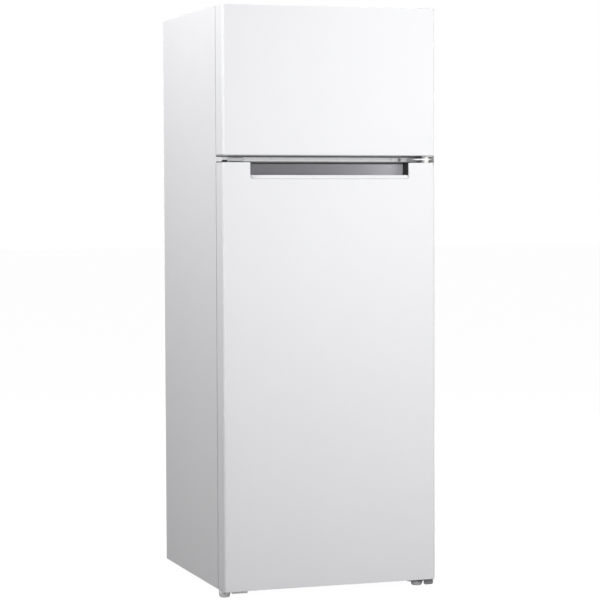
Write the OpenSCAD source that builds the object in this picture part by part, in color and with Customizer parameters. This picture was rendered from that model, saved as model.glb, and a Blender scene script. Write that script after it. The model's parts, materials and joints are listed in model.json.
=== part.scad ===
// Top freezer refrigerator: a foamed steel cabinet with two hinged doors, standing on two
// levelling feet and two rear rollers. The origin is on the floor under the middle of the
// whole footprint, +X to the right, +Y to the back and +Z up, so the doors face -Y.

/* [Cabinet] */
// Width of the cabinet and of both doors
body_w = 545; // [540:1:560]
// Depth of the cabinet from its front flange to its back panel
cabinet_d = 472; // [468:1:490]
// Height of the cabinet's top above the floor
cabinet_top = 1428; // [1424:1:1440]
// Thickness of the painted sheet steel
sheet_t = 0.8; // [0.6:0.1:1]
// Width of the steel flange round the front opening
flange_w = 33; // [31:1:34]
// Thickness of the plastic liners
liner_t = 1.5; // [1.2:0.1:1.8]

/* [Doors] */
// Thickness of a door without its gasket
door_t = 56; // [54:1:58]
// Thickness of the gasket when the door is shut
gasket_t = 5; // [4.5:0.5:6]
// Height of the lower door's top edge above the floor
fridge_door_top = 1050; // [1048:1:1052]
// Gap between the two doors
door_gap = 17; // [17:0.5:18]
// Radius of a door's upright front edges
door_r = 7; // [5:0.5:9]
// Thickness of the plastic cap at the top and bottom of a door
cap_t = 4; // [3:0.5:5]

/* [Handle] */
// Half the width of the handle pocket in the lower door
pocket_half = 203; // [180:1:210]
// Depth of the handle pocket from the door's front
pocket_d = 36; // [32:1:38]
// Height of the pocket's open front
pocket_h = 30; // [26:1:34]
// Height of the sloped lip under the pocket's open front
lip_h = 9; // [7:1:11]

/* [Compartments] */
// Wall from the cabinet's side to the inside of the fridge
fridge_wall = 42; // [40:1:44]
// Wall from the cabinet's side to the inside of the freezer
freezer_wall = 55; // [53:1:57]
// Radius of the liners' long inner corners
liner_r = 12; // [8:1:12]
// Height of the fridge floor above the floor of the room
fridge_floor = 70; // [68:1:72]
// Height of the freezer's ceiling
freezer_ceiling = 1372; // [1368:1:1374]

/* [Hinges and feet] */
// Radius of the hinge pins
pin_r = 4; // [3:0.5:5]
// Clearance round a hinge pin or an axle
running_gap = 0.06; // [0.04:0.01:0.1]
// Distance of the hinge axis from the cabinet's side
axis_from_side = 16; // [15:0.5:17]
// Distance of the hinge axis behind the door's front
axis_from_front = 26; // [25:0.5:28]
// Radius of a rear roller
roller_r = 15; // [14:0.5:15]

/* [Condenser] */
// Distance that the rear condenser stands off the back panel
condenser_gap = 22; // [20:1:26]
// Number of straight runs in the condenser tube
condenser_runs = 18; // [10:2:18]
// Spacing of the runs
condenser_pitch = 60; // [50:1:60]

/* [Hidden] */
$fn = 48;

// Planes from the front to the back
y_front = -(door_t + gasket_t + cabinet_d + condenser_gap) / 2;
y_door = y_front + door_t;
y_cab = y_door + gasket_t;
y_inner = y_cab + sheet_t + liner_t;
y_back = y_cab + cabinet_d;
y_rear = y_back + condenser_gap;
half_w = body_w / 2;
inside_half = half_w - sheet_t;

// Levels from the floor up
cabinet_bottom = 18;
fridge_door_bottom = 20;
freezer_door_bottom = fridge_door_top + door_gap;
freezer_door_top = cabinet_top - 1;
gap_mid = fridge_door_top + door_gap / 2;
rail_half_h = 33;
rail_bottom = gap_mid - rail_half_h;
rail_top = gap_mid + rail_half_h;
bar_half_h = 5;
bar_y = y_cab - 2;
hinge_flange_x = 190;

// Compartments
fridge_half = half_w - fridge_wall;
freezer_half = half_w - freezer_wall;
fridge_back = y_back - 50;
freezer_back = y_back - 60;
hump_y = y_back - 187.5;
hump_top = 250;
machine_y = hump_y + 36;
machine_top = hump_top - 38;
liner_flange = 8;
evaporator_half = 180;
evaporator_d = 7.2;

// Doors
return_w = 14;
dyke_y = y_door + 31.5;
dish_y = y_door + 6.5;
dyke_w = 20;
gasket_w = 12;
gasket_side = 17;
gasket_end = 10;
axis_x = half_w - axis_from_side;
axis_y = y_front + axis_from_front;
bush_r = 7;
bush_flange_r = 9;
boss_r = 10;
sleeve_l = 18;
fridge_dyke = [half_w - 54.5, 84, 1015];
freezer_dyke = [half_w - 67.5, 1104, 1360];

// Handle
lip_top = fridge_door_top - pocket_h;
lip_bottom = lip_top - lip_h;
pocket_floor = lip_bottom - 23;
pocket_wall = 2;
pocket_back = y_front + pocket_d;
finger_groove_h = 20;

// Shelves
shelf_levels = [470, 650, 830];
crisper_level = 275;
shelf_front = y_cab + 108.5;
glass_t = 4;
rail_w = 8;
rail_h = 10;
freezer_shelf_z = 1225;

// Door racks: lowest level, height and depth behind the dish
freezer_rack = [1128, 80, 50];
upper_rack = [800, 75, 60];
middle_rack = [560, 75, 60];
bottle_rack_size = [118, 110, 90];
rack_half = fridge_dyke[0] - dyke_w - 8;
lug_h = 15;

// Machine compartment
plate_z = 33;
plate_t = 2;
pot_x = 40;
pot_y = (machine_y + y_back) / 2;
pot_r = 68;
pot_bottom = 45;
pot_h = 139;
roller_x = half_w - 47.5;
roller_y = y_back - 30;
roller_w = 14;
axle_r = 3;
tube_r = 2.4;
wire_r = 0.8;
condenser_y = y_rear - 4.5;
condenser_z = 290;
run_half = 215;

// A box between two corners
module block(x0, x1, y0, y1, z0, z1) {
    translate([x0, y0, z0]) cube([x1 - x0, y1 - y0, z1 - z0]);
}

// The same box on the left and on the right
module both_sides() {
    children();
    mirror([1, 0, 0]) children();
}

// A flat shape in (x, y), raised from z0 to z1
module prism_z(z0, z1) {
    translate([0, 0, z0]) linear_extrude(z1 - z0) children();
}

// A flat shape in (x, z), running from y0 to y1
module prism_y(y0, y1) {
    translate([0, y1, 0]) rotate([90, 0, 0]) linear_extrude(y1 - y0) children();
}

// A flat shape in (y, z), running from x0 to x1
module prism_x(x0, x1) {
    translate([x0, 0, 0]) rotate([90, 0, 90]) linear_extrude(x1 - x0) children();
}

// A rectangle with round corners
module rounded(x0, x1, y0, y1, r) {
    translate([x0 + r, y0]) square([x1 - x0 - 2 * r, y1 - y0]);
    translate([x0, y0 + r]) square([x1 - x0, y1 - y0 - 2 * r]);
    for (x = [x0 + r, x1 - r], y = [y0 + r, y1 - r])
        translate([x, y]) circle(r = r);
}

// Upright, side to side and front to back cylinders
module rod_z(x, y, z0, z1, r) {
    translate([x, y, z0]) cylinder(r = r, h = z1 - z0);
}
module rod_x(x0, x1, y, z, r) {
    translate([x0, y, z]) rotate([0, 90, 0]) cylinder(r = r, h = x1 - x0);
}
module rod_y(x, y0, y1, z, r) {
    translate([x, y1, z]) rotate([90, 0, 0]) cylinder(r = r, h = y1 - y0);
}

// A straight piece of tube from point a to point b
module strut(a, b, r) {
    v = b - a;
    translate(a)
        rotate([0, acos(v[2] / norm(v)), atan2(v[1], v[0])])
            cylinder(r = r, h = norm(v));
}

// A solid pipe along a list of points, with a slightly wider brazed ball at each bend
module pipe(points, r) {
    for (i = [0 : len(points) - 2]) strut(points[i], points[i + 1], r);
    for (i = [1 : len(points) - 2]) translate(points[i]) sphere(r = 1.2 * r);
}

// A back-and-forth tube in an upright plane, with half-round bends
module serpentine(y, z, half, runs, pitch, r) {
    for (i = [0 : runs - 1]) rod_x(-half, half, y, z + i * pitch, r);
    for (i = [0 : runs - 2])
        translate([i % 2 == 0 ? half : -half, y, z + (i + 0.5) * pitch])
            rotate([90, 0, 0])
                rotate([0, 0, i % 2 == 0 ? -90 : 90])
                    rotate_extrude(angle = 180) translate([pitch / 2, 0]) circle(r = r);
}

// An open-topped box with walls of thickness t
module tray(x0, x1, y0, y1, z0, z1, t) {
    difference() {
        block(x0, x1, y0, y1, z0, z1);
        block(x0 + t, x1 - t, y0 + t, y1 - t, z0 + t, z1 + 1);
    }
}

// ---- Cabinet ----

module cabinet_shell() {
    color("white") difference() {
        block(-half_w, half_w, y_cab, y_back, cabinet_bottom, cabinet_top);
        block(-inside_half, inside_half, y_cab + sheet_t, y_back + 1,
              cabinet_bottom - 1, cabinet_top - sheet_t);
        block(-half_w + flange_w, half_w - flange_w, y_cab - 1, y_cab + 2,
              cabinet_bottom - 1, cabinet_top - flange_w);
    }
}

module rear_panel() {
    color("white") difference() {
        block(-inside_half, inside_half, y_back - sheet_t, y_back,
              machine_top, cabinet_top - sheet_t);
        // stiffening slots are pressed dimples in the real sheet
        for (z = [260, 1380], x = [-120, 120])
            prism_y(y_back - 1.9, y_back - sheet_t / 2)
                rounded(x - 70, x + 70, z - 6, z + 6, 5);
    }
}

// One bent sheet: front lip, underside, machine compartment wall and ceiling
module base_pan() {
    lip_half = half_w - flange_w;
    color("white") {
        block(-lip_half, lip_half, y_cab, y_cab + sheet_t, cabinet_bottom, fridge_floor - 2);
        block(-lip_half, lip_half, y_cab, y_cab + 5, cabinet_bottom, cabinet_bottom + sheet_t);
        block(-inside_half, inside_half, y_cab + sheet_t, machine_y,
              cabinet_bottom, cabinet_bottom + sheet_t);
        block(-inside_half, inside_half, machine_y - sheet_t, machine_y,
              cabinet_bottom, machine_top);
        difference() {
            block(-inside_half, inside_half, machine_y - sheet_t, y_back,
                  machine_top - sheet_t, machine_top);
            drain_hole();
        }
    }
}

// Rail between the compartments, with a raised bar along the gap between the doors
module centre_crossrail() {
    rail_half = half_w - flange_w;
    color("lightgray") {
        block(-rail_half, rail_half, y_cab, y_cab + sheet_t, rail_bottom, rail_top);
        block(-half_w + 1, hinge_flange_x - 1, bar_y, y_cab, gap_mid - bar_half_h,
              gap_mid + bar_half_h);
    }
}

// Covers over the unused hinge holes, so the doors can be hung on the other side
module crossrail_plugs() {
    plug_y = bar_y - 1.6;
    color("gainsboro") {
        prism_y(plug_y, bar_y) rounded(-241, -202, gap_mid - 3.6, gap_mid + 3.6, 2);
        rod_y(179, plug_y, bar_y, gap_mid, 3.6);
    }
}

// The clear space of a compartment, grown outwards by g
module fridge_space(g) {
    difference() {
        prism_y(y_cab - 1, fridge_back + g)
            rounded(-fridge_half - g, fridge_half + g, fridge_floor - g, rail_bottom + g,
                    liner_r + g);
        block(-half_w, half_w, hump_y + g, y_rear, 0, hump_top - g);
    }
}
module freezer_space(g) {
    prism_y(y_cab - 1, freezer_back + g)
        rounded(-freezer_half - g, freezer_half + g, rail_top - g, freezer_ceiling + g,
                liner_r + g);
}

module drain_hole() {
    rod_z(70, fridge_back - 12, machine_top - 30, hump_top + 1, 8.05);
}

// Ledges on both side walls that carry a shelf at each level
module ledges(half, y1, levels) {
    for (z = levels) both_sides()
        block(half - rail_w, half + liner_t / 2, shelf_front - 6, y1, z - rail_h, z);
}

module fridge_liner() {
    edge = half_w - flange_w + liner_flange;
    color("white") difference() {
        union() {
            difference() {
                union() {
                    fridge_space(liner_t);
                    block(-edge, edge, y_cab, y_inner, fridge_floor - 2 - liner_flange,
                          rail_bottom + liner_flange);
                }
                fridge_space(0);
            }
            ledges(fridge_half, fridge_back - 2, concat(shelf_levels, [crisper_level]));
        }
        block(-half_w, half_w, y_cab - 2, y_cab + sheet_t, 0, cabinet_top);
        drain_hole();
    }
}

module freezer_liner() {
    edge = half_w - flange_w + liner_flange;
    color("white") difference() {
        union() {
            difference() {
                union() {
                    freezer_space(liner_t);
                    block(-edge, edge, y_cab, y_inner, rail_top - liner_flange,
                          cabinet_top - flange_w + liner_flange);
                }
                freezer_space(0);
            }
            ledges(freezer_half, freezer_back - 2, [freezer_shelf_z]);
        }
        block(-half_w, half_w, y_cab - 2, y_cab + sheet_t, 0, cabinet_top);
    }
}

// The tube in the foam behind the freezer's back wall, on its plate
module freezer_evaporator() {
    plate_y = freezer_back + liner_t;
    color("silver") {
        block(-evaporator_half, evaporator_half, plate_y, plate_y + 1.6, rail_top + 30,
              freezer_ceiling - 30);
        serpentine(plate_y + 4, rail_top + 45, 140, 6, 38, 3);
    }
}

// Foam between the steel and the liners, left square behind the liners' round corners
module cabinet_foam() {
    t = liner_t;
    color("khaki") difference() {
        block(-inside_half, inside_half, y_inner, y_back - sheet_t,
              cabinet_bottom + sheet_t, cabinet_top - sheet_t);
        block(-half_w, half_w, machine_y - sheet_t, y_rear, 0, machine_top);
        difference() {
            block(-fridge_half - t, fridge_half + t, y_cab, fridge_back + t,
                  fridge_floor - t, rail_bottom + t);
            block(-half_w, half_w, hump_y + t, y_rear, 0, hump_top - t);
        }
        block(-freezer_half - t, freezer_half + t, y_cab, freezer_back + t,
              rail_top - t, freezer_ceiling + t);
        block(-evaporator_half, evaporator_half, freezer_back, freezer_back + t + evaporator_d,
              rail_top + 30, freezer_ceiling - 30);
        drain_hole();
    }
}

// ---- Cooling circuit ----

module condenser_tube() {
    color("black")
        serpentine(condenser_y, condenser_z, run_half, condenser_runs, condenser_pitch, tube_r);
}

module condenser_wires() {
    wires = 34;
    first_x = -198;
    color("black")
        for (i = [0 : wires - 1], side = [-1, 1])
            rod_z(first_x + i * 12, condenser_y + side * (tube_r + wire_r),
                  condenser_z - 12, condenser_z + (condenser_runs - 1) * condenser_pitch + 12,
                  wire_r);
}

module condenser_brackets() {
    runs = [1, condenser_runs - 2];
    color("dimgray")
        for (i = runs) both_sides()
            difference() {
                block(204, 214, y_back, y_rear, condenser_z + i * condenser_pitch - 10,
                      condenser_z + i * condenser_pitch + 10);
                rod_x(200, 218, condenser_y, condenser_z + i * condenser_pitch, tube_r + 0.05);
            }
}

// A welded pot with a seam flange half way up, on a pressed mounting foot
module compressor() {
    r = 34;
    color([0.12, 0.12, 0.13]) {
        translate([pot_x, pot_y, pot_bottom])
            rotate_extrude() {
                square([pot_r - r, pot_h]);
                translate([0, r]) square([pot_r, pot_h - 2 * r]);
                translate([pot_r - r, r]) circle(r = r);
                translate([pot_r - r, pot_h - r]) circle(r = r);
            }
        rod_z(pot_x, pot_y, pot_bottom + 62, pot_bottom + 66, pot_r + 3);
        prism_z(pot_bottom + 3, pot_bottom + 6)
            difference() {
                rounded(pot_x - 88, pot_x + 88, pot_y - 62, pot_y + 62, 14);
                for (x = [-74, 74], y = [-48, 48]) translate([pot_x + x, pot_y + y]) circle(r = 5);
            }
    }
}

module compressor_grommets() {
    color([0.1, 0.1, 0.1])
        for (x = [-74, 74], y = [-48, 48]) {
            rod_z(pot_x + x, pot_y + y, plate_z + plate_t, pot_bottom + 3, 11);
            rod_z(pot_x + x, pot_y + y, pot_bottom + 3, pot_bottom + 8, 4.9);
        }
}

// The rear cross-member that carries the compressor and the rollers' brackets
module compressor_plate() {
    color("silver") {
        difference() {
            union() {
                block(-inside_half, inside_half, machine_y + 4, y_back - 4,
                      plate_z, plate_z + plate_t);
                block(-inside_half, inside_half, y_back - 6, y_back - 4, plate_z, plate_z + 14);
            }
            rod_z(pot_x - 120, pot_y, plate_z - 1, plate_z + plate_t + 1, 9);
        }
        // tab for the mains lead's gland
        difference() {
            block(-190, -150, y_back - 6, y_back - 4, plate_z + 13, plate_z + 50);
            rod_y(-170, y_back - 8, y_back - 2, plate_z + 32, 8.05);
        }
    }
}

// Two ears for each rear roller, hung under the cross-member
module roller_brackets() {
    color("silver")
        for (s = [-1, 1], d = [-1, 1])
            difference() {
                prism_x(s * roller_x + d * 9 - 1, s * roller_x + d * 9 + 1)
                    rounded(roller_y - 11, roller_y + 11, 6, plate_z, 4);
                rod_x(s * roller_x + d * 9 - 2, s * roller_x + d * 9 + 2, roller_y, roller_r,
                      axle_r + 0.05);
            }
}

module roller_axles() {
    color("silver")
        for (s = [-1, 1])
            rod_x(s * roller_x - 12, s * roller_x + 12, roller_y, roller_r, axle_r);
}

module roller(side) {
    x = side * roller_x;
    color([0.2, 0.2, 0.2]) difference() {
        rod_x(x - roller_w / 2, x + roller_w / 2, roller_y, roller_r, roller_r);
        rod_x(x - roller_w, x + roller_w, roller_y, roller_r, axle_r + running_gap);
        for (d = [-1, 1])
            difference() {
                rod_x(x + d * 7 - 2, x + d * 7 + 2, roller_y, roller_r, roller_r - 3.5);
                rod_x(x + d * 7 - 3, x + d * 7 + 3, roller_y, roller_r, axle_r + 2.5);
            }
    }
}
module rear_left_roller() {
    roller(-1);
}
module rear_right_roller() {
    roller(1);
}

// Box on the compressor's side that covers the start relay and the terminals
module start_relay_box() {
    x0 = pot_x - pot_r - 34;
    color([0.15, 0.15, 0.16])
        prism_x(x0, pot_x - pot_r - 4)
            rounded(pot_y - 26, pot_y + 26, pot_bottom + 70, pot_bottom + 118, 5);
    color([0.15, 0.15, 0.16])
        rod_x(pot_x - pot_r - 5, pot_x - pot_r + 0.2, pot_y, pot_bottom + 90, 8);
}

// Ring that lines the hole where the mains lead leaves the machine compartment
module mains_gland() {
    x = -170;
    z = plate_z + 32;
    color([0.08, 0.08, 0.08]) difference() {
        union() {
            rod_y(x, y_back - 6, y_back - 4, z, 8);
            rod_y(x, y_back - 9, y_back - 6, z, 11);
            rod_y(x, y_back - 4, y_back - 1, z, 11);
        }
        rod_y(x, y_back - 10, y_back, z, 4.5);
    }
}

// The filter drier and the copper tubes between compressor, condenser and foam
module refrigerant_tubes() {
    top_z = condenser_z + (condenser_runs - 1) * condenser_pitch;
    down_x = -252;
    drier = [-215, condenser_y - 40, 110];
    suction = [pot_x + 40, machine_y + 8, machine_top - sheet_t];
    color("peru") {
        pipe([[-run_half, condenser_y, top_z], [down_x, condenser_y, top_z],
              [down_x, condenser_y, 175], [-140, condenser_y - 22, 160],
              [-140, pot_y - 50, 150], [pot_x - 50, pot_y - 50, 100]], tube_r);
        pipe([[-run_half, condenser_y, condenser_z], [-230, condenser_y, condenser_z],
              [-230, condenser_y, 205], drier + [0, 0, 60]], tube_r);
        translate(drier) {
            cylinder(r = 9, h = 56);
            translate([0, 0, 56]) cylinder(r1 = 9, r2 = 3, h = 8);
            translate([0, 0, -8]) cylinder(r1 = 3, r2 = 9, h = 8);
        }
        pipe([drier + [0, 0, -7], drier + [0, 0, -25], [-215, machine_y + 20, 85],
              [-215, machine_y + 12, machine_top - sheet_t - 0.2]], 1.5);
        pipe([suction, [suction[0], suction[1], 196], [170, machine_y + 20, 180],
              [170, pot_y - 20, 120], [pot_x + 66, pot_y, 115]], 3.5);
    }
}

module evaporation_tray() {
    color([0.25, 0.25, 0.27])
        tray(pot_x - 85, pot_x + 85, pot_y - 58, pot_y + 58, pot_bottom + pot_h,
             pot_bottom + pot_h + 20, 2);
}

module drain_tube() {
    color("gainsboro") difference() {
        rod_z(70, fridge_back - 12, machine_top - 6, hump_top, 8);
        rod_z(70, fridge_back - 12, machine_top - 7, hump_top + 1, 6);
    }
}

// ---- Fridge compartment fittings ----

thermostat_x = fridge_half - 38;
knob_at = [45, 952];
lamp_window = [-52, 4, 916, 988];

module thermostat_housing() {
    color("whitesmoke") difference() {
        prism_x(thermostat_x, fridge_half) rounded(-60, 90, 905, 1000, 8);
        prism_x(thermostat_x + 2, fridge_half + 1) rounded(-58, 88, 907, 998, 6);
        prism_x(thermostat_x - 1, thermostat_x + 3)
            rounded(lamp_window[0], lamp_window[1], lamp_window[2], lamp_window[3], 4);
        rod_x(thermostat_x - 1, thermostat_x + 3, knob_at[0], knob_at[1], axle_r + running_gap);
    }
}

module thermostat_knob() {
    color("whitesmoke") {
        difference() {
            rod_x(thermostat_x - 14, thermostat_x - 0.4, knob_at[0], knob_at[1], 19);
            // a finger bar is left standing between two cut-away sides
            for (s = [-1, 1])
                block(thermostat_x - 15, thermostat_x - 5, knob_at[0] + (s > 0 ? 4 : -30),
                      knob_at[0] + (s > 0 ? 30 : -4), knob_at[1] - 13, knob_at[1] + 13);
        }
        rod_x(thermostat_x - 1, thermostat_x + 12, knob_at[0], knob_at[1], axle_r);
    }
}

module lamp_cover() {
    color("white", 0.6) difference() {
        prism_x(thermostat_x, thermostat_x + 2)
            rounded(lamp_window[0] + 0.2, lamp_window[1] - 0.2, lamp_window[2] + 0.2,
                    lamp_window[3] - 0.2, 3.8);
        for (i = [0 : 7])
            block(thermostat_x - 1, thermostat_x + 0.8, lamp_window[0] + 5 + i * 6.5,
                  lamp_window[0] + 7 + i * 6.5, lamp_window[2] + 6, lamp_window[3] - 6);
    }
}

module lamp_bulb() {
    y = (lamp_window[0] + lamp_window[1]) / 2;
    color("lightyellow") {
        rod_z(thermostat_x + 19, y, 915, 938, 7);
        rod_z(thermostat_x + 19, y, 935, 956, 9);
        translate([thermostat_x + 19, y, 956]) sphere(r = 13);
    }
}

switch_x = 150;
switch_z = rail_bottom - 16.5;

module lamp_switch_housing() {
    color("whitesmoke") difference() {
        block(switch_x - 15, switch_x + 15, dyke_y + 10, dyke_y + 50, switch_z - 6, rail_bottom);
        block(switch_x - 5.2, switch_x + 5.2, dyke_y + 9, dyke_y + 48, switch_z - 4.2,
              switch_z + 4.2);
    }
}

module lamp_switch_plunger() {
    color("white") {
        block(switch_x - 5, switch_x + 5, dyke_y + 4, dyke_y + 36, switch_z - 4, switch_z + 4);
        rod_y(switch_x, dyke_y + 0.3, dyke_y + 4, switch_z, 4);
    }
}

module shelf_glass(z) {
    block(-fridge_half + 3.5, fridge_half - 3.5, shelf_front + 4, fridge_back - 10,
          z, z + glass_t);
}

module glass_shelves() {
    color("lightcyan", 0.5) for (z = shelf_levels) shelf_glass(z);
}

module crisper_cover() {
    color("lightcyan", 0.5) shelf_glass(crisper_level);
}

// Front and rear edge trims that slip over each glass
module shelf_trims() {
    half = fridge_half - rail_w - 1.5;
    color("whitesmoke")
        for (z = concat(shelf_levels, [crisper_level])) {
            difference() {
                prism_x(-half, half)
                    rounded(shelf_front, shelf_front + 14, z - 7, z + 9, 3);
                block(-half - 1, half + 1, shelf_front + 4, shelf_front + 15, z, z + glass_t);
            }
            difference() {
                prism_x(-half, half)
                    rounded(fridge_back - 18, fridge_back - 5, z - 5, z + 22, 3);
                block(-half - 1, half + 1, fridge_back - 19, fridge_back - 10, z, z + glass_t);
            }
        }
}

module crisper_drawer() {
    half = fridge_half - 16.5;
    front = y_cab + 112.5;
    rear = hump_y - 6;
    top = crisper_level - 14;
    color("lightcyan", 0.6) difference() {
        union() {
            prism_z(fridge_floor, top) rounded(-half, half, front + 4, rear, 14);
            prism_y(front, front + 12) rounded(-half, half, fridge_floor, top, 8);
            // rim along both sides
            prism_z(top - 4, top) rounded(-half - 2, half + 2, front + 20, rear + 2, 14);
        }
        prism_z(fridge_floor + 2.5, top + 1)
            rounded(-half + 2.5, half - 2.5, front + 8, rear - 2.5, 11.5);
        // grip under the front's top edge
        prism_x(-70, 70) rounded(front - 6, front + 4.5, top - 26, top - 12, 4);
    }
}

module freezer_shelf() {
    half = freezer_half - 2;
    z = freezer_shelf_z;
    front = y_cab + 64.5;
    rear = freezer_back - 6;
    color("whitesmoke") difference() {
        union() {
            block(-half, half, shelf_front - 4, rear, z, z + 5);
            block(-half + rail_w, half - rail_w, front, shelf_front, z, z + 5);
            prism_x(-half + rail_w, half - rail_w) rounded(front, front + 8, z - 7, z + 8, 3);
        }
        for (i = [0 : 12], j = [0 : 2])
            prism_z(z - 1, z + 6)
                rounded(-198 + i * 30.5, -198 + i * 30.5 + 20, front + 22 + j * 102,
                        front + 112 + j * 102, 4);
    }
}

// ---- Hinges, feet ----

pin_l = 17;
hinge_t = 3;
arm_z = fridge_door_top + 7;
arm_x = half_w - 1.2;
hinge_screw_x = 200;
top_plate_t = 2.5;
left_foot = [-half_w + 14.3, axis_y + 25.5];
right_foot = [240, axis_y + 19.5];
left_boss_r = 14.1;
right_boss_r = 16.2;
boss_l = 5;
foot_h = 9.8;
stud_top = cabinet_bottom + 1;
tab_bottom = 4.5;

module top_hinge() {
    color("gainsboro") {
        difference() {
            prism_z(cabinet_top, cabinet_top + top_plate_t)
                rounded(231, half_w - 0.5, y_front + 12, y_cab + 70, 8);
            for (y = [24, 52]) rod_z(axis_x - 6, y_cab + y, cabinet_top - 1, cabinet_top + 4, 2.6);
        }
        rod_z(axis_x, axis_y, cabinet_top - pin_l, cabinet_top + 1, pin_r);
    }
}

module middle_hinge() {
    color("gainsboro") {
        // arm between the doors
        prism_z(arm_z, arm_z + hinge_t)
            difference() {
                rounded(222, arm_x, axis_y - 9, y_cab, 8);
                translate([200, y_cab - 3]) square([100, 10]);
            }
        block(222, arm_x, y_cab - 10, y_cab - 2, arm_z, arm_z + hinge_t);
        difference() {
            block(hinge_flange_x, arm_x, y_cab - 3, y_cab, gap_mid - 5, gap_mid + 5);
            rod_y(hinge_screw_x, y_cab - 4, y_cab + 1, gap_mid, 2.6);
        }
        rod_z(axis_x, axis_y, arm_z - pin_l - 7, arm_z + hinge_t + pin_l + 7, pin_r);
    }
}

// Plate with the pin, a boss for the right foot's stud and a turned-down lip at its corner
module bottom_hinge() {
    front = axis_y - 12;
    color([0.25, 0.25, 0.26]) {
        difference() {
            union() {
                prism_z(cabinet_bottom - hinge_t, cabinet_bottom) {
                    rounded(205, half_w - 0.5, front, y_cab + 66, 8);
                    translate([247, front]) square([half_w - 247.5, 14]);
                }
                rod_z(right_foot[0], right_foot[1], cabinet_bottom - hinge_t - boss_l,
                      cabinet_bottom - hinge_t, right_boss_r);
                prism_y(front, front + 2)
                    rounded(247, half_w - 0.5, tab_bottom, cabinet_bottom - 1, 5);
            }
            rod_z(right_foot[0], right_foot[1], 0, cabinet_bottom + 1, pin_r + running_gap);
            for (y = [20, 48])
                rod_z(right_foot[0], y_cab + y, 0, cabinet_bottom + 1, 2.6);
        }
        rod_z(axis_x, axis_y, cabinet_bottom - 1, cabinet_bottom + pin_l, pin_r);
    }
}

module left_foot_bracket() {
    color([0.45, 0.45, 0.46]) difference() {
        union() {
            prism_z(cabinet_bottom - hinge_t, cabinet_bottom)
                rounded(-262, -205, axis_y - 6, y_cab + 66, 8);
            rod_z(left_foot[0], left_foot[1], cabinet_bottom - hinge_t - boss_l,
                  cabinet_bottom, left_boss_r);
            block(-248, -208, axis_y - 1, axis_y + 1, 10.5, cabinet_bottom - 1);
        }
        rod_z(left_foot[0], left_foot[1], 0, cabinet_bottom + 1, pin_r + running_gap);
        for (y = [20, 48]) rod_z(-240, y_cab + y, 0, cabinet_bottom + 1, 2.6);
    }
}

// A screw with a domed head, its shank ending where the sheet begins
module screw(grip) {
    difference() {
        union() {
            cylinder(r = 2.5, h = grip);
            translate([0, 0, grip]) cylinder(r = 4.5, h = 2.2);
            translate([0, 0, grip + 2.2]) cylinder(r1 = 4.5, r2 = 2.5, h = 1.2);
        }
        for (a = [0, 90])
            translate([0, 0, grip + 2.6]) rotate([0, 0, a])
                translate([-2.2, -0.5, 0]) cube([4.4, 1, 2]);
    }
}

module hinge_screws() {
    color("silver") {
        for (y = [24, 52]) translate([axis_x - 6, y_cab + y, cabinet_top]) screw(top_plate_t);
        translate([hinge_screw_x, y_cab, gap_mid]) rotate([90, 0, 0]) screw(hinge_t);
        for (x = [-240, right_foot[0]], y = [20, 48])
            translate([x, y_cab + y, cabinet_bottom]) rotate([180, 0, 0]) screw(hinge_t);
    }
}

// A foot that widens towards its top, on the stud that screws into the bracket above it
module levelling_foot(at, r0, r1) {
    translate([at[0], at[1], 0]) cylinder(r1 = r0, r2 = r1, h = foot_h);
    rod_z(at[0], at[1], foot_h - 1, stud_top, pin_r);
}
module front_left_foot() {
    color([0.55, 0.55, 0.56]) levelling_foot(left_foot, 12.7, left_boss_r - 0.1);
}
module front_right_foot() {
    color([0.4, 0.4, 0.41]) levelling_foot(right_foot, 11.5, right_boss_r - 0.2);
}

// ---- Doors ----

// A door's outline from above, its upright front edges rounded, inset by g
module door_outline(g, back) {
    x = half_w - g;
    r = door_r - g;
    translate([-x, y_front + g + r]) square([2 * x, back - y_front - g - r]);
    translate([-x + r, y_front + g]) square([2 * (x - r), r + 1]);
    for (s = [-1, 1]) translate([s * (x - r), y_front + g + r]) circle(r = r);
}

// A wrapped steel front with returns at the back
module door_skin(z0, z1) {
    prism_z(z0 + cap_t, z1 - cap_t)
        difference() {
            door_outline(0, y_door);
            door_outline(sheet_t, y_door - sheet_t);
            translate([-half_w + return_w, y_door - 5]) square([body_w - 2 * return_w, 10]);
        }
}

// The raised ring on a door's inside and the floor of the dish within it, inset by g
module door_dyke(dyke, g) {
    half = dyke[0];
    difference() {
        block(-half + g, half - g, y_door - liner_t, dyke_y - g, dyke[1] + g, dyke[2] - g);
        block(-half + dyke_w - g, half - dyke_w + g, dish_y - g, dyke_y + 1,
              dyke[1] + dyke_w - g, dyke[2] - dyke_w + g);
    }
}

// Small ledges inside the dyke that a door rack hangs on
module rack_lugs(dyke, racks) {
    half = dyke[0] - dyke_w;
    for (rack = racks) both_sides()
        block(half - 7, half + liner_t / 2, dish_y + 6, dish_y + 18, rack[0] + 30,
              rack[0] + 30 + lug_h);
}

module door_liner(z0, z1, dyke, racks) {
    half = half_w - return_w;
    difference() {
        union() {
            block(-half, half, y_door - liner_t, y_door, z0 + return_w, z1 - return_w);
            door_dyke(dyke, 0);
        }
        door_dyke(dyke, liner_t);
    }
    rack_lugs(dyke, racks);
}

module door_gasket(z0, z1) {
    x = half_w - gasket_side;
    prism_y(y_door, y_cab)
        difference() {
            rounded(-x, x, z0 + gasket_end, z1 - gasket_end, 3);
            translate([-x + gasket_w, z0 + gasket_end + gasket_w])
                square([2 * (x - gasket_w), z1 - z0 - 2 * (gasket_end + gasket_w)]);
        }
}

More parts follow.
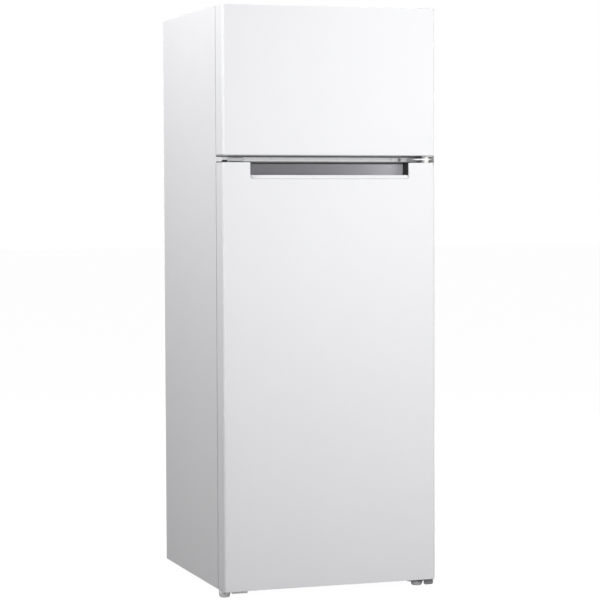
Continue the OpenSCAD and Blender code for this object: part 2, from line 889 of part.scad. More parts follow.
// Cap plates at both ends, each with a lip that covers the foam behind the liner's edge and
// the boss that holds a hinge bush
module door_caps(z0, z1) {
    lip = half_w - return_w;
    difference() {
        union() {
            prism_z(z0, z0 + cap_t) door_outline(0, y_door);
            prism_z(z1 - cap_t, z1) door_outline(0, y_door);
            block(-lip, lip, y_door - liner_t, y_door, z0 + cap_t, z0 + return_w);
            block(-lip, lip, y_door - liner_t, y_door, z1 - return_w, z1 - cap_t);
            rod_z(axis_x, axis_y, z0, z0 + sleeve_l + 2, boss_r);
            rod_z(axis_x, axis_y, z1 - sleeve_l - 2, z1, boss_r);
        }
        rod_z(axis_x, axis_y, z0 - 1, z0 + sleeve_l, bush_r + 0.05);
        rod_z(axis_x, axis_y, z1 - sleeve_l, z1 + 1, bush_r + 0.05);
    }
}

// A flanged bush in a door's end; the flange fills a gap of that height
module bush(z, up, flange) {
    difference() {
        union() {
            rod_z(axis_x, axis_y, up ? z : z - sleeve_l, up ? z + sleeve_l : z, bush_r);
            if (flange > 0)
                rod_z(axis_x, axis_y, up ? z - flange : z, up ? z : z + flange, bush_flange_r);
        }
        rod_z(axis_x, axis_y, z - sleeve_l - 1, z + sleeve_l + 1, pin_r + running_gap);
    }
}

// Foam that fills a door between its caps, up to the inner liner
module door_foam(z0, z1, dyke) {
    prism_z(z0 + cap_t, z1 - cap_t) door_outline(sheet_t, y_door - liner_t);
    door_dyke(dyke, liner_t);
}

// A rack that hangs in the dish of a door; its ears drop over the lugs
module door_rack(rack, half) {
    z0 = rack[0];
    z1 = z0 + rack[1];
    y0 = dish_y + 1;
    y1 = dish_y + rack[2];
    ear_z = z0 + 30 + lug_h;
    difference() {
        prism_z(z0, z1) rounded(-half, half, y0, y1, 10);
        prism_z(z0 + 2, z1 + 1) rounded(-half + 2, half - 2, y0 + 2, y1 - 2, 8);
    }
    prism_z(z1 - 3, z1)
        difference() {
            rounded(-half, half, y0, y1 + 2, 10);
            rounded(-half + 2, half - 2, y0 + 2, y1 - 2, 8);
        }
    both_sides() {
        block(half - 1, half + 7, y0, dish_y + 20, ear_z, ear_z + 4);
        block(half - 1, half + 7, y0, dish_y + 5.7, ear_z - lug_h, ear_z + 4);
    }
}

// ---- Upper door ----

module finger_groove(g) {
    block(-200 - g, 200 + g, y_front + 12 - g, y_front + 40 + g,
          freezer_door_bottom - 1, freezer_door_bottom + finger_groove_h + g);
}

module freezer_door_skin() {
    color("white") door_skin(freezer_door_bottom, freezer_door_top);
}

module freezer_door_caps() {
    color("white") difference() {
        union() {
            door_caps(freezer_door_bottom, freezer_door_top);
            intersection() {
                finger_groove(2);
                block(-half_w, half_w, y_front, y_door, freezer_door_bottom, freezer_door_top);
            }
        }
        finger_groove(0);
    }
}

module freezer_door_foam() {
    color("khaki") difference() {
        door_foam(freezer_door_bottom, freezer_door_top, freezer_dyke);
        finger_groove(2);
        rod_z(axis_x, axis_y, freezer_door_bottom, freezer_door_bottom + sleeve_l + 2, boss_r);
        rod_z(axis_x, axis_y, freezer_door_top - sleeve_l - 2, freezer_door_top, boss_r);
    }
}

module freezer_door_liner() {
    color("white")
        door_liner(freezer_door_bottom, freezer_door_top, freezer_dyke, [freezer_rack]);
}

module freezer_door_gasket() {
    color("gainsboro") door_gasket(freezer_door_bottom, freezer_door_top);
}

module freezer_door_bushes() {
    color("white") {
        bush(freezer_door_bottom, true, freezer_door_bottom - arm_z - hinge_t);
        bush(freezer_door_top, false, 0);
    }
}

module freezer_door_rack() {
    color("lightcyan", 0.6) door_rack(freezer_rack, freezer_dyke[0] - dyke_w - 8);
}

// ---- Lower door ----

// The space that the handle pocket and its lip take out of the door
module handle_space() {
    block(-pocket_half, pocket_half, y_front - 1, pocket_back + pocket_wall,
          lip_bottom, fridge_door_top + 1);
    block(-pocket_half, pocket_half, y_front + 3.5, pocket_back + pocket_wall,
          pocket_floor, fridge_door_top + 1);
}

module fridge_door_skin() {
    color("white") difference() {
        door_skin(fridge_door_bottom, fridge_door_top);
        handle_space();
    }
}

module fridge_door_caps() {
    color("white") difference() {
        door_caps(fridge_door_bottom, fridge_door_top);
        handle_space();
    }
}

module fridge_door_foam() {
    color("khaki") difference() {
        door_foam(fridge_door_bottom, fridge_door_top, fridge_dyke);
        handle_space();
        rod_z(axis_x, axis_y, fridge_door_bottom, fridge_door_bottom + sleeve_l + 2, boss_r);
        rod_z(axis_x, axis_y, fridge_door_top - sleeve_l - 2, fridge_door_top, boss_r);
    }
}

module fridge_door_liner() {
    color("white")
        door_liner(fridge_door_bottom, fridge_door_top, fridge_dyke,
                   [upper_rack, middle_rack, bottle_rack_size]);
}

module fridge_door_gasket() {
    color("gainsboro") door_gasket(fridge_door_bottom, fridge_door_top);
}

module fridge_door_bushes() {
    color("white") {
        bush(fridge_door_bottom, true, fridge_door_bottom - cabinet_bottom);
        bush(fridge_door_top, false, arm_z - fridge_door_top);
    }
}

// The grey moulded pocket: back wall, floor, ends and the wall behind the lip
module handle_pocket() {
    clear_half = pocket_half - pocket_wall;
    color("darkgray") difference() {
        union() {
            block(-pocket_half, pocket_half, y_front + 3.5, pocket_back + pocket_wall,
                  pocket_floor, fridge_door_top);
            block(-pocket_half, pocket_half, y_front, y_front + 4, lip_top, fridge_door_top);
        }
        block(-clear_half, clear_half, y_front + 5.5, pocket_back,
              pocket_floor + pocket_wall, fridge_door_top + 1);
        block(-pocket_half - 1, pocket_half + 1, y_front, y_front + 11.5,
              lip_bottom, lip_top);
        block(-clear_half, clear_half, y_front - 1, y_front + 11.5,
              lip_bottom, fridge_door_top + 1);
    }
}

// The white sloped lip that the fingers pull on
module handle_lip() {
    color("white")
        prism_x(-pocket_half, pocket_half)
            polygon([[y_front, lip_bottom], [y_front + 6.5, lip_top], [y_front + 11.5, lip_top],
                     [y_front + 11.5, lip_top - 5], [y_front + 5.5, lip_bottom]]);
}

module upper_door_rack() {
    color("lightcyan", 0.6) door_rack(upper_rack, rack_half);
}
module middle_door_rack() {
    color("lightcyan", 0.6) door_rack(middle_rack, rack_half);
}
module bottle_rack() {
    color("lightcyan", 0.6) door_rack(bottle_rack_size, rack_half);
}

cabinet_shell();
rear_panel();
base_pan();
centre_crossrail();
crossrail_plugs();
cabinet_foam();
fridge_liner();
freezer_liner();
freezer_evaporator();
condenser_tube();
condenser_wires();
condenser_brackets();
compressor();
compressor_grommets();
compressor_plate();
start_relay_box();
mains_gland();
refrigerant_tubes();
evaporation_tray();
drain_tube();
thermostat_housing();
thermostat_knob();
lamp_cover();
lamp_bulb();
lamp_switch_housing();
lamp_switch_plunger();
glass_shelves();
shelf_trims();
crisper_cover();
crisper_drawer();
freezer_shelf();
top_hinge();
middle_hinge();
bottom_hinge();
hinge_screws();
left_foot_bracket();
front_left_foot();
front_right_foot();
rear_left_roller();
rear_right_roller();
roller_brackets();
roller_axles();
freezer_door_skin();
freezer_door_caps();
freezer_door_foam();
freezer_door_liner();
freezer_door_gasket();
freezer_door_bushes();
freezer_door_rack();
fridge_door_skin();
fridge_door_caps();
fridge_door_foam();
fridge_door_liner();
fridge_door_gasket();
fridge_door_bushes();
handle_pocket();
handle_lip();
upper_door_rack();
middle_door_rack();
bottle_rack();
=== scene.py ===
"""Looks of the top freezer refrigerator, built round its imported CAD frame, in metres."""
import json
import math

import bmesh
import bpy
from mathutils import Matrix, Vector


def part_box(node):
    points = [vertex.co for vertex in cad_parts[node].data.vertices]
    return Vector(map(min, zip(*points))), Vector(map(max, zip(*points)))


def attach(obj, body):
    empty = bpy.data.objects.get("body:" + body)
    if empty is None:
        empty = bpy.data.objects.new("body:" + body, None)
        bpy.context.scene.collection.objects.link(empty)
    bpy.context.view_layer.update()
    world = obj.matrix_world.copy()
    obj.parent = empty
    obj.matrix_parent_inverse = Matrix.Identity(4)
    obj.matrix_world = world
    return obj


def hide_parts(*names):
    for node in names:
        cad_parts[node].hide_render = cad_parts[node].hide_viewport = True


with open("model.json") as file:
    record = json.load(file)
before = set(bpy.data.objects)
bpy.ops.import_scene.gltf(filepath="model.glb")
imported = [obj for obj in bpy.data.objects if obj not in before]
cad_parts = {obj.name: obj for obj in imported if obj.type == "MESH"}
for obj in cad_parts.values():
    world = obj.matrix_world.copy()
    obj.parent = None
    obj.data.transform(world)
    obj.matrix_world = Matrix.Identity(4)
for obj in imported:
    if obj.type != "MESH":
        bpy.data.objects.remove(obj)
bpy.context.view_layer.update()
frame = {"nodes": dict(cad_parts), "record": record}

NODES = frame["nodes"]
BODY_OF = {n: b for b, ns in frame["record"]["behaviour"]["bodies"].items() for n in ns}
SLOT_OF = {s["node"]: s["material_slot"] for s in frame["record"]["subparts"]}


# ---- Camera and studio ----

def make_camera():
    """The photograph's view: from the left, level with the gap between the doors."""
    yaw, pitch, roll = math.radians(18.795), math.radians(2.598), math.radians(-0.22)
    place = (-1.7169, -5.0879, 0.9494)
    level = Vector((math.sin(yaw), math.cos(yaw), 0))
    forward = level * math.cos(pitch) - Vector((0, 0, math.sin(pitch)))
    right = Vector((math.cos(yaw), -math.sin(yaw), 0))
    up = right.cross(forward)
    rolled_right = right * math.cos(roll) + up * math.sin(roll)
    rolled_up = up * math.cos(roll) - right * math.sin(roll)
    data = bpy.data.cameras.new("camera")
    data.sensor_width = 36
    data.lens = 126.5
    camera = bpy.data.objects.new("camera", data)
    turn = Matrix((rolled_right, rolled_up, -forward)).transposed()
    camera.matrix_world = Matrix.Translation(place) @ turn.to_4x4()
    bpy.context.scene.collection.objects.link(camera)
    bpy.context.scene.camera = camera


def ray_strength(tree, to_camera, to_gloss, to_light):
    """A strength that differs for what the camera sees, for reflections and for soft light."""
    path = tree.nodes.new("ShaderNodeLightPath")
    levels = []
    for output, level in (("Is Camera Ray", to_camera), ("Is Glossy Ray", to_gloss)):
        made = tree.nodes.new("ShaderNodeMapRange")
        made.inputs["To Min"].default_value = to_light
        made.inputs["To Max"].default_value = level
        tree.links.new(path.outputs[output], made.inputs["Value"])
        levels.append(made.outputs["Result"])
    strongest = tree.nodes.new("ShaderNodeMath")
    strongest.operation = "MAXIMUM"
    for level, socket in zip(levels, strongest.inputs):
        tree.links.new(level, socket)
    return strongest.outputs[0]


def make_world():
    """White to the eye of the camera, paler in reflections and dim as a light."""
    world = bpy.data.worlds.new("studio")
    world.use_nodes = True
    tree = world.node_tree
    background = tree.nodes["Background"]
    background.inputs["Color"].default_value = (1, 1, 1, 1)
    strength = ray_strength(tree, to_camera=1.0, to_gloss=0.2, to_light=0.01)
    tree.links.new(strength, background.inputs["Strength"])
    bpy.context.scene.world = world


def softbox(name, place, aim, size, watts, in_reflections=True, only_on=()):
    """A square area light at place, turned towards aim; only_on names the pieces it reaches."""
    data = bpy.data.lights.new(name, "AREA")
    data.shape = "SQUARE"
    data.size = size
    data.energy = watts
    light = bpy.data.objects.new(name, data)
    light.location = place
    light.rotation_euler = (Vector(aim) - Vector(place)).to_track_quat("-Z", "Y").to_euler()
    light.visible_glossy = in_reflections
    light.visible_camera = False
    if only_on:
        lit = bpy.data.collections.new(f"{name}_lit")
        for piece in only_on:
            lit.objects.link(bpy.data.objects[piece])
        light.light_linking.receiver_collection = lit
        data.use_shadow = False
    bpy.context.scene.collection.objects.link(light)


def make_floor():
    """A wide white floor that shows soft contact shadows and throws a little light back."""
    half = 40
    mesh = bpy.data.meshes.new("floor")
    corners = [(-half, -half, 0), (half, -half, 0), (half, half, 0), (-half, half, 0)]
    mesh.from_pydata(corners, [], [(0, 1, 2, 3)])
    floor = bpy.data.objects.new("floor", mesh)
    bpy.context.scene.collection.objects.link(floor)
    m = bpy.data.materials.new("floor")
    m.use_nodes = True
    tree = m.node_tree
    shader = tree.nodes["Principled BSDF"]
    shader.inputs["Base Color"].default_value = (0.08, 0.08, 0.08, 1)
    shader.inputs["Roughness"].default_value = 0.9
    shader.inputs["Specular IOR Level"].default_value = 0.0
    shader.inputs["Emission Color"].default_value = (1, 1, 1, 1)
    strength = ray_strength(tree, to_camera=0.985, to_gloss=0.2, to_light=0.02)
    tree.links.new(strength, shader.inputs["Emission Strength"])
    mesh.materials.append(m)


make_camera()
make_world()
make_floor()
MIDDLE = (0, 0, 1.0)
softbox("side_light", (-2.2, -0.3, 3.2), MIDDLE, size=1.2, watts=121, in_reflections=False)
softbox("front_fill", (0.4, -2.2, 1.2), MIDDLE, size=1.2, watts=30.2, in_reflections=False)
softbox("right_light", (2.6, -3.4, 2.0), MIDDLE, size=1.2, watts=46)
softbox("low_fill", (0.0, -2.6, 0.35), MIDDLE, size=0.6, watts=3, in_reflections=False)
softbox("rear_light", (2.2, 3.4, 1.7), (0, 0, 0.8), size=1.6, watts=120)
bpy.context.scene.view_settings.view_transform = "Standard"


# ---- Materials ----

def node_of(m, kind, **values):
    """A new shader node with the named input values."""
    made = m.node_tree.nodes.new(kind)
    for name, value in values.items():
        made.inputs[name.replace("_", " ")].default_value = value
    return made


def coordinates(m, stretch=(1, 1, 1)):
    """The piece's own coordinates in metres, stretched along the axes."""
    source = m.node_tree.nodes.new("ShaderNodeTexCoord")
    mapping = node_of(m, "ShaderNodeMapping", Scale=stretch)
    m.node_tree.links.new(source.outputs["Object"], mapping.inputs["Vector"])
    return mapping.outputs["Vector"]


def noise(m, scale, detail=3, roughness=0.5, stretch=(1, 1, 1)):
    """A cloudy factor."""
    made = node_of(m, "ShaderNodeTexNoise", Scale=scale, Detail=detail, Roughness=roughness)
    m.node_tree.links.new(coordinates(m, stretch), made.inputs["Vector"])
    return made.outputs["Fac"]


def cells(m, scale, output="Distance"):
    """A cell pattern, for zinc crystals and foam."""
    made = node_of(m, "ShaderNodeTexVoronoi", Scale=scale)
    m.node_tree.links.new(coordinates(m), made.inputs["Vector"])
    return made.outputs[output]


def ramp(m, factor, stops):
    """Colours at positions along a factor."""
    made = m.node_tree.nodes.new("ShaderNodeValToRGB")
    elements = made.color_ramp.elements
    while len(elements) < len(stops):
        elements.new(0.5)
    for element, (place, colour) in zip(elements, stops):
        element.position = place
        element.color = (*colour, 1)
    m.node_tree.links.new(factor, made.inputs["Fac"])
    return made.outputs["Color"]


def spread(m, factor, low, high, start=0.3, end=0.7):
    """A factor's range start .. end mapped to low .. high."""
    made = node_of(m, "ShaderNodeMapRange", From_Min=start, From_Max=end, To_Min=low, To_Max=high)
    m.node_tree.links.new(factor, made.inputs["Value"])
    return made.outputs["Result"]


def mix(m, factor, first, second):
    """Colour first where factor is 0, colour second where it is 1."""
    made = m.node_tree.nodes.new("ShaderNodeMix")
    made.data_type = "RGBA"
    for socket, value in ((made.inputs[0], factor), (made.inputs[6], first),
                          (made.inputs[7], second)):
        if isinstance(value, bpy.types.NodeSocket):
            m.node_tree.links.new(value, socket)
        else:
            socket.default_value = (*value, 1)
    return made.outputs[2]


def product(m, first, second):
    """Two factors multiplied."""
    made = m.node_tree.nodes.new("ShaderNodeMath")
    made.operation = "MULTIPLY"
    m.node_tree.links.new(first, made.inputs[0])
    m.node_tree.links.new(second, made.inputs[1])
    return made.outputs[0]


def facing_up(m):
    """1 on faces that look up, where dust settles, and 0 on the others."""
    geometry = m.node_tree.nodes.new("ShaderNodeNewGeometry")
    split = m.node_tree.nodes.new("ShaderNodeSeparateXYZ")
    m.node_tree.links.new(geometry.outputs["Normal"], split.inputs["Vector"])
    return spread(m, split.outputs["Z"], 0.0, 1.0, 0.3, 0.95)


def bump(m, height, depth, normal=None):
    """A bump of the given depth in metres; returns the normal."""
    made = node_of(m, "ShaderNodeBump", Strength=1.0, Distance=depth)
    m.node_tree.links.new(height, made.inputs["Height"])
    if normal is not None:
        m.node_tree.links.new(normal, made.inputs["Normal"])
    return made.outputs["Normal"]


def shade(colour, factor):
    """A colour made lighter or darker."""
    return tuple(min(1.0, c * factor) for c in colour)


def new_material(name, metal=0.0, coat=0.0):
    """A material with its shader and the function that links its sockets."""
    m = bpy.data.materials.new(name)
    m.use_nodes = True
    shader = m.node_tree.nodes["Principled BSDF"]
    shader.inputs["Metallic"].default_value = metal
    shader.inputs["Coat Weight"].default_value = coat
    shader.inputs["Coat Roughness"].default_value = 0.12
    return m, shader, m.node_tree.links.new


def surface(name, colour, rough, mottle=0.02, smear=0.06, grain=900, depth=0.00002, metal=0.0,
            coat=0.0, stretch=(1, 1, 1), ripple=0.0, dust=0.0):
    """A solid material: cloudy colour, smeared gloss, fine grain, paint ripple and dust."""
    m, shader, link = new_material(name, metal, coat)
    cloud = noise(m, 7, 4)
    tone = ramp(m, cloud, [(0.3, shade(colour, 1 - mottle)), (0.7, shade(colour, 1 + mottle))])
    if dust:
        settled = product(m, facing_up(m), spread(m, noise(m, 35, 5, 0.7), 0.1, dust))
        tone = mix(m, settled, tone, (0.42, 0.4, 0.37))
    link(tone, shader.inputs["Base Color"])
    link(spread(m, noise(m, 23, 5, 0.6, stretch), rough - smear, rough + smear),
         shader.inputs["Roughness"])
    relief = bump(m, noise(m, grain, 2, 0.5, stretch), depth)
    if ripple:
        relief = bump(m, noise(m, 210, 2), ripple, relief)
    link(relief, shader.inputs["Normal"])
    return m


def galvanised(name, colour, rough):
    """Zinc-plated steel with faint crystals and rolling marks."""
    m, shader, link = new_material(name, metal=1.0)
    crystal = cells(m, 260, output="Color")
    link(mix(m, spread(m, crystal, 0.0, 1.0, 0.0, 1.0), shade(colour, 0.86), shade(colour, 1.1)),
         shader.inputs["Base Color"])
    link(spread(m, noise(m, 60, 4, 0.6, (1, 12, 12)), rough - 0.08, rough + 0.12),
         shader.inputs["Roughness"])
    link(bump(m, noise(m, 500, 3, 0.6, (1, 10, 10)), 0.00002), shader.inputs["Normal"])
    return m


def foamed(name, colour):
    """Cut rigid foam: fine closed cells with deeper pits between them."""
    m, shader, link = new_material(name)
    cell = cells(m, 700)
    link(mix(m, spread(m, cell, 0.0, 1.0, 0.1, 0.6), shade(colour, 1.05), shade(colour, 0.7)),
         shader.inputs["Base Color"])
    shader.inputs["Roughness"].default_value = 0.95
    link(bump(m, cell, 0.0004, bump(m, noise(m, 60, 4), 0.0006)), shader.inputs["Normal"])
    return m


def clear(name, colour, alpha, rough=0.06, frost=0.0):
    """Clear glass or plastic, a little less clear at a glancing angle and where it is scuffed."""
    m, shader, link = new_material(name)
    link(ramp(m, noise(m, 9, 3), [(0.3, shade(colour, 0.97)), (0.7, colour)]),
         shader.inputs["Base Color"])
    link(spread(m, noise(m, 40, 5, 0.7), rough * 0.6, rough * 1.8 + frost),
         shader.inputs["Roughness"])
    glance = node_of(m, "ShaderNodeLayerWeight", Blend=0.35)
    link(spread(m, glance.outputs["Facing"], alpha, min(1.0, alpha + 0.35), 0.2, 1.0),
         shader.inputs["Alpha"])
    link(bump(m, noise(m, 300, 3), 0.00002), shader.inputs["Normal"])
    shader.inputs["IOR"].default_value = 1.5
    return m


WHITE = (0.86, 0.86, 0.877)
MATERIALS = {
    "white_paint": surface("white_paint", WHITE, 0.36, mottle=0.006, smear=0.04, grain=900,
                           depth=0.000004, ripple=0.000008),
    "white_plastic": surface("white_plastic", WHITE, 0.3, mottle=0.008, grain=1500,
                             depth=0.000005),
    "liner_plastic": surface("liner_plastic", (0.84, 0.85, 0.85), 0.22, mottle=0.01,
                             smear=0.05, grain=1200, depth=0.00001, ripple=0.00002),
    "satin_white_plastic": surface("satin_white_plastic", (0.82, 0.825, 0.82), 0.42,
                                   grain=2200, depth=0.00004),
    "crossrail_paint": surface("crossrail_paint", (0.9, 0.9, 0.905), 0.3, mottle=0.01),
    "grip_grey": surface("grip_grey", (0.125, 0.125, 0.134), 0.42, metal=0.15, mottle=0.02,
                         stretch=(0.05, 1, 1), grain=1400),
    "gasket_vinyl": surface("gasket_vinyl", (0.72, 0.72, 0.71), 0.6, grain=1800, depth=0.00003),
    "foam": foamed("foam", (0.85, 0.77, 0.5)),
    "shelf_glass": clear("shelf_glass", (0.78, 0.92, 0.88), 0.26),
    "clear_plastic": clear("clear_plastic", (0.87, 0.91, 0.94), 0.3, 0.08, frost=0.08),
    "lamp_plastic": surface("lamp_plastic", (0.9, 0.9, 0.86), 0.4),
    "zinc_steel": galvanised("zinc_steel", (0.66, 0.66, 0.64), 0.32),
    "hinge_paint": surface("hinge_paint", (0.84, 0.845, 0.85), 0.3, mottle=0.02, coat=0.2),
    # Also used as painted shade: the dark strips in the gap between the doors and round the
    # rail's cover.
    "dark_hinge_paint": surface("dark_hinge_paint", (0.2, 0.2, 0.205), 0.4),
    "black_paint": surface("black_paint", (0.02, 0.02, 0.022), 0.32, mottle=0.2, ripple=0.00003,
                           dust=0.6),
    "copper": surface("copper", (0.72, 0.4, 0.26), 0.3, metal=1.0, mottle=0.12, smear=0.12),
    "aluminium": surface("aluminium", (0.8, 0.8, 0.8), 0.35, metal=1.0, stretch=(1, 20, 20)),
    # Also used as painted shade: the pin hole's patch and the line along the top of the handle's
    # pocket.
    "black_plastic": surface("black_plastic", (0.022, 0.022, 0.024), 0.5, grain=1800,
                             depth=0.00004),
    "black_rubber": surface("black_rubber", (0.025, 0.025, 0.025), 0.75, mottle=0.15,
                            depth=0.00004),
    "foot_grey": surface("foot_grey", (0.7, 0.705, 0.71), 0.45, mottle=0.05, grain=1600,
                         depth=0.00004),
    "bracket_grey": surface("bracket_grey", (0.75, 0.755, 0.76), 0.4, mottle=0.05,
                            ripple=0.00002),
    "nylon": surface("nylon", (0.83, 0.82, 0.79), 0.4),
}
for name, node in NODES.items():
    node.data.materials.clear()
    node.data.materials.append(MATERIALS[SLOT_OF[name]])


# ---- Mesh helpers ----

def add_piece(name, made, slot, body, replaced=(), sheet=0.0):
    """A finished piece from a bmesh: smooth but for its sharp edges, riding on a body."""
    crease = math.radians(35)
    bmesh.ops.recalc_face_normals(made, faces=made.faces)
    mesh = bpy.data.meshes.new(name)
    made.to_mesh(mesh)
    made.free()
    mesh.shade_smooth()
    mesh.set_sharp_from_angle(angle=crease)
    mesh.materials.append(MATERIALS[slot])
    piece = bpy.data.objects.new(name, mesh)
    bpy.context.scene.collection.objects.link(piece)
    if sheet:
        thick = piece.modifiers.new("sheet_thickness", "SOLIDIFY")
        thick.thickness = sheet
        thick.offset = -1
        thick.use_even_offset = True
    piece.modifiers.new("even_shading", "WEIGHTED_NORMAL").keep_sharp = True
    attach(piece, body)
    if replaced:
        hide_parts(*replaced)


def round_edges(made, radius, segments, wanted):
    """Rounds the sharp edges that wanted(edge) picks."""
    made.normal_update()
    sharp = [e for e in made.edges if len(e.link_faces) == 2
             and e.calc_face_angle(0) > math.radians(30) and wanted(e)]
    if sharp:
        bmesh.ops.bevel(made, geom=sharp, offset=radius, offset_type="OFFSET",
                        segments=segments, profile=0.5, affect="EDGES", clamp_overlap=True,
                        loop_slide=True)


def every_edge(edge):
    """For round_edges: no sharp edge is left out."""
    return True


def cad_copy(name):
    """A CAD node's mesh with its seams closed and its flat faces whole."""
    made = bmesh.new()
    made.from_mesh(NODES[name].data)
    bmesh.ops.remove_doubles(made, verts=made.verts[:], dist=2e-6)
    bmesh.ops.dissolve_limit(made, angle_limit=math.radians(0.3), verts=made.verts[:],
                             edges=made.edges[:], use_dissolve_boundaries=False)
    return made


def softened(name, *roundings):
    """A copy of a CAD node with round edges; each rounding is (radius, segments, which edges)."""
    made = cad_copy(name)
    for radius, segments, wanted in roundings:
        round_edges(made, radius, segments, wanted)
    add_piece(f"{name}_finished", made, SLOT_OF[name], BODY_OF[name], [name])


def arc(centre, radius, start, end, steps):
    """Points on an arc, with its angles in degrees."""
    angles = [math.radians(start + (end - start) * i / steps) for i in range(steps + 1)]
    return [(centre[0] + radius * math.cos(a), centre[1] + radius * math.sin(a))
            for a in angles]


def round_rectangle(x0, x1, y0, y1, r, steps=6):
    """A rectangle with round corners as flat points, anticlockwise."""
    return (arc((x1 - r, y0 + r), r, -90, 0, steps) + arc((x1 - r, y1 - r), r, 0, 90, steps)
            + arc((x0 + r, y1 - r), r, 90, 180, steps)
            + arc((x0 + r, y0 + r), r, 180, 270, steps))


def circle(centre, radius, level, count=32, groove=0.0, grooves=0):
    """Points of a level circle round (x, y); groove is the depth of grooves spaced round it."""
    points = []
    for i in range(count):
        a = 2 * math.pi * i / count
        r = radius - groove * (0.5 + 0.5 * math.cos(grooves * a))
        points.append(Vector((centre[0] + r * math.cos(a), centre[1] + r * math.sin(a), level)))
    return points


def raised(points, axis, level):
    """Flat points placed on the plane at a level along an axis."""
    if axis == "x":
        return [Vector((level, a, b)) for a, b in points]
    if axis == "y":
        return [Vector((a, level, b)) for a, b in points]
    return [Vector((a, b, level)) for a, b in points]


def skin_over(made, loops, closed=False, first=True, last=True, wrap=True):
    """Rows of faces between loops with the same number of points, with end faces."""
    rings = [[made.verts.new(p) for p in ring] for ring in loops]
    pairs = list(zip(rings, rings[1:])) + ([(rings[-1], rings[0])] if closed else [])
    for near, far in pairs:
        for i in range(len(near) if wrap else len(near) - 1):
            j = (i + 1) % len(near)
            made.faces.new((near[i], near[j], far[j], far[i]))
    for wanted, ring in ((first, rings[0]), (last, rings[-1])):
        if wanted and not closed:
            made.faces.new(ring)


def slab(made, points, axis, low, high):
    """A solid prism of flat points between two levels along an axis."""
    skin_over(made, [raised(points, axis, low), raised(points, axis, high)])


def inset_loops(outline, rows, axis, corner):
    """Round rectangles set in from (a0, a1, b0, b1), one for each (inset, level) row."""
    a0, a1, b0, b1 = outline
    smallest_corner = 0.0012
    return [raised(round_rectangle(a0 + inset, a1 - inset, b0 + inset, b1 - inset,
                                   max(corner - inset, smallest_corner)), axis, level)
            for inset, level in rows]


def quarter(start, end, bulge_first):
    """Rows of a quarter-round edge from (inset, level) start to end."""
    (e0, l0), (e1, l1) = start, end
    rows = []
    for i in range(7):
        s, c = math.sin(math.radians(15 * i)), 1 - math.cos(math.radians(15 * i))
        u, v = (s, c) if bulge_first else (c, s)
        rows.append((e0 + (e1 - e0) * u, l0 + (l1 - l0) * v))
    return rows


# ---- Steel skins ----

FOLD_R = 0.002
SHEET = 0.0008
NOTCH_CORNER = 0.006


def cabinet_shell():
    """Sides, top and front flange folded from one sheet, with soft folds."""
    (x0, y0, z0), (x1, y1, z1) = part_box("cabinet_shell")
    flange = 0.033
    made = bmesh.new()
    outer = [(x0, z0), (x0, z1), (x1, z1), (x1, z0)]
    inner = [(x0 + flange, z0), (x0 + flange, z1 - flange), (x1 - flange, z1 - flange),
             (x1 - flange, z0)]
    rows = [[made.verts.new((x, y, z)) for x, z in points]
            for points, y in ((inner, y0), (outer, y0), (outer, y1))]
    for near, far in zip(rows, rows[1:]):
        for i in range(3):
            made.faces.new((near[i], near[i + 1], far[i + 1], far[i]))
    round_edges(made, FOLD_R, 4, every_edge)
    add_piece("cabinet_shell_finished", made, "white_paint", "cabinet", ["cabinet_shell"],
              sheet=SHEET)


def door_skin(door, notch=None):
    """A door's wrapped steel; notch is the (half width, bottom) of a cut-out in its top."""
    name = f"{door}_skin"
    (_, y0, z0), (x1, y1, z1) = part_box(name)
    r, rear_return, rear_round = 0.007, 0.014, 0.0015
    notch_fold, notch_round = 0.0035, 0.0022
    made = bmesh.new()
    side = arc((x1 - r, y0 + r), r, -90, 0, 8) + [(x1, y1), (x1 - rear_return, y1)]
    columns = {}
    for s in (1, -1):
        columns[s] = [[made.verts.new((s * x, y, z)) for z in (z0, z1)] for x, y in side]
        for a, b in zip(columns[s], columns[s][1:]):
            made.faces.new((a[0], b[0], b[1], a[1])[::s])
    left, right = columns[-1][0], columns[1][0]
    cut = []
    if notch:
        (half, low), corner = notch, NOTCH_CORNER
        flat = ([(half, z1)] + arc((half - corner, low + corner), corner, 0, -90, 5)
                + arc((corner - half, low + corner), corner, -90, -180, 5) + [(-half, z1)])
        cut = [made.verts.new((x, y0, z)) for x, z in flat]
    made.faces.new([left[0], right[0], right[1]] + cut + [left[1]])
    if notch:
        inside = [made.verts.new(v.co + Vector((0, notch_fold, 0))) for v in cut]
        for i in range(len(cut) - 1):
            made.faces.new((cut[i + 1], cut[i], inside[i], inside[i + 1]))
        round_edges(made, notch_round, 4, lambda edge: all(
            abs(v.co.y - y0) < 1e-6 and abs(v.co.x) < half + 1e-6 for v in edge.verts))
    round_edges(made, rear_round, 3, lambda edge: all(
        abs(v.co.y - y1) < 1e-6 for v in edge.verts))
    add_piece(f"{name}_finished", made, "white_paint", BODY_OF[name], [name], sheet=SHEET)


def door_caps(door):
    """A door's end caps, their outer edges rounded over to meet the steel."""
    name = f"{door}_caps"
    (_, y0, z0), (x1, _, z1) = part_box(name)
    rim = 0.0071
    notch_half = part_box("handle_pocket")[1][0]

    def outline(edge):
        return all(min(v.co.z - z0, z1 - v.co.z) < 1e-5
                   and (abs(v.co.x) > x1 - rim or v.co.y < y0 + rim) for v in edge.verts)

    def notch_corner(edge):
        a, b = (v.co for v in edge.verts)
        return (abs(a.y - b.y) > 0.01 and abs(a.z - z1) < 1e-5
                and abs(abs(a.x) - notch_half) < 1e-5)

    softened(name, (0.0039, 6, notch_corner), (0.0028, 6, outline))


# ---- Doors' insides ----

# The raised ring on each door's inside: half width, bottom and top
RINGS = {"freezer_door": (0.205, 1.104, 1.360), "fridge_door": (0.218, 0.084, 1.015)}
RING_W = 0.020
RING_H = 0.0315
RING_CORNER = 0.018
# How far the dish inside the ring stands out of the door
DISH = 0.0065
# Where each door's racks stand, and the lugs that carry them
RACKS = {"freezer_door": [1.128], "fridge_door": [0.8, 0.56, 0.118]}
LUG_RISE = 0.030
LUG_H = 0.015


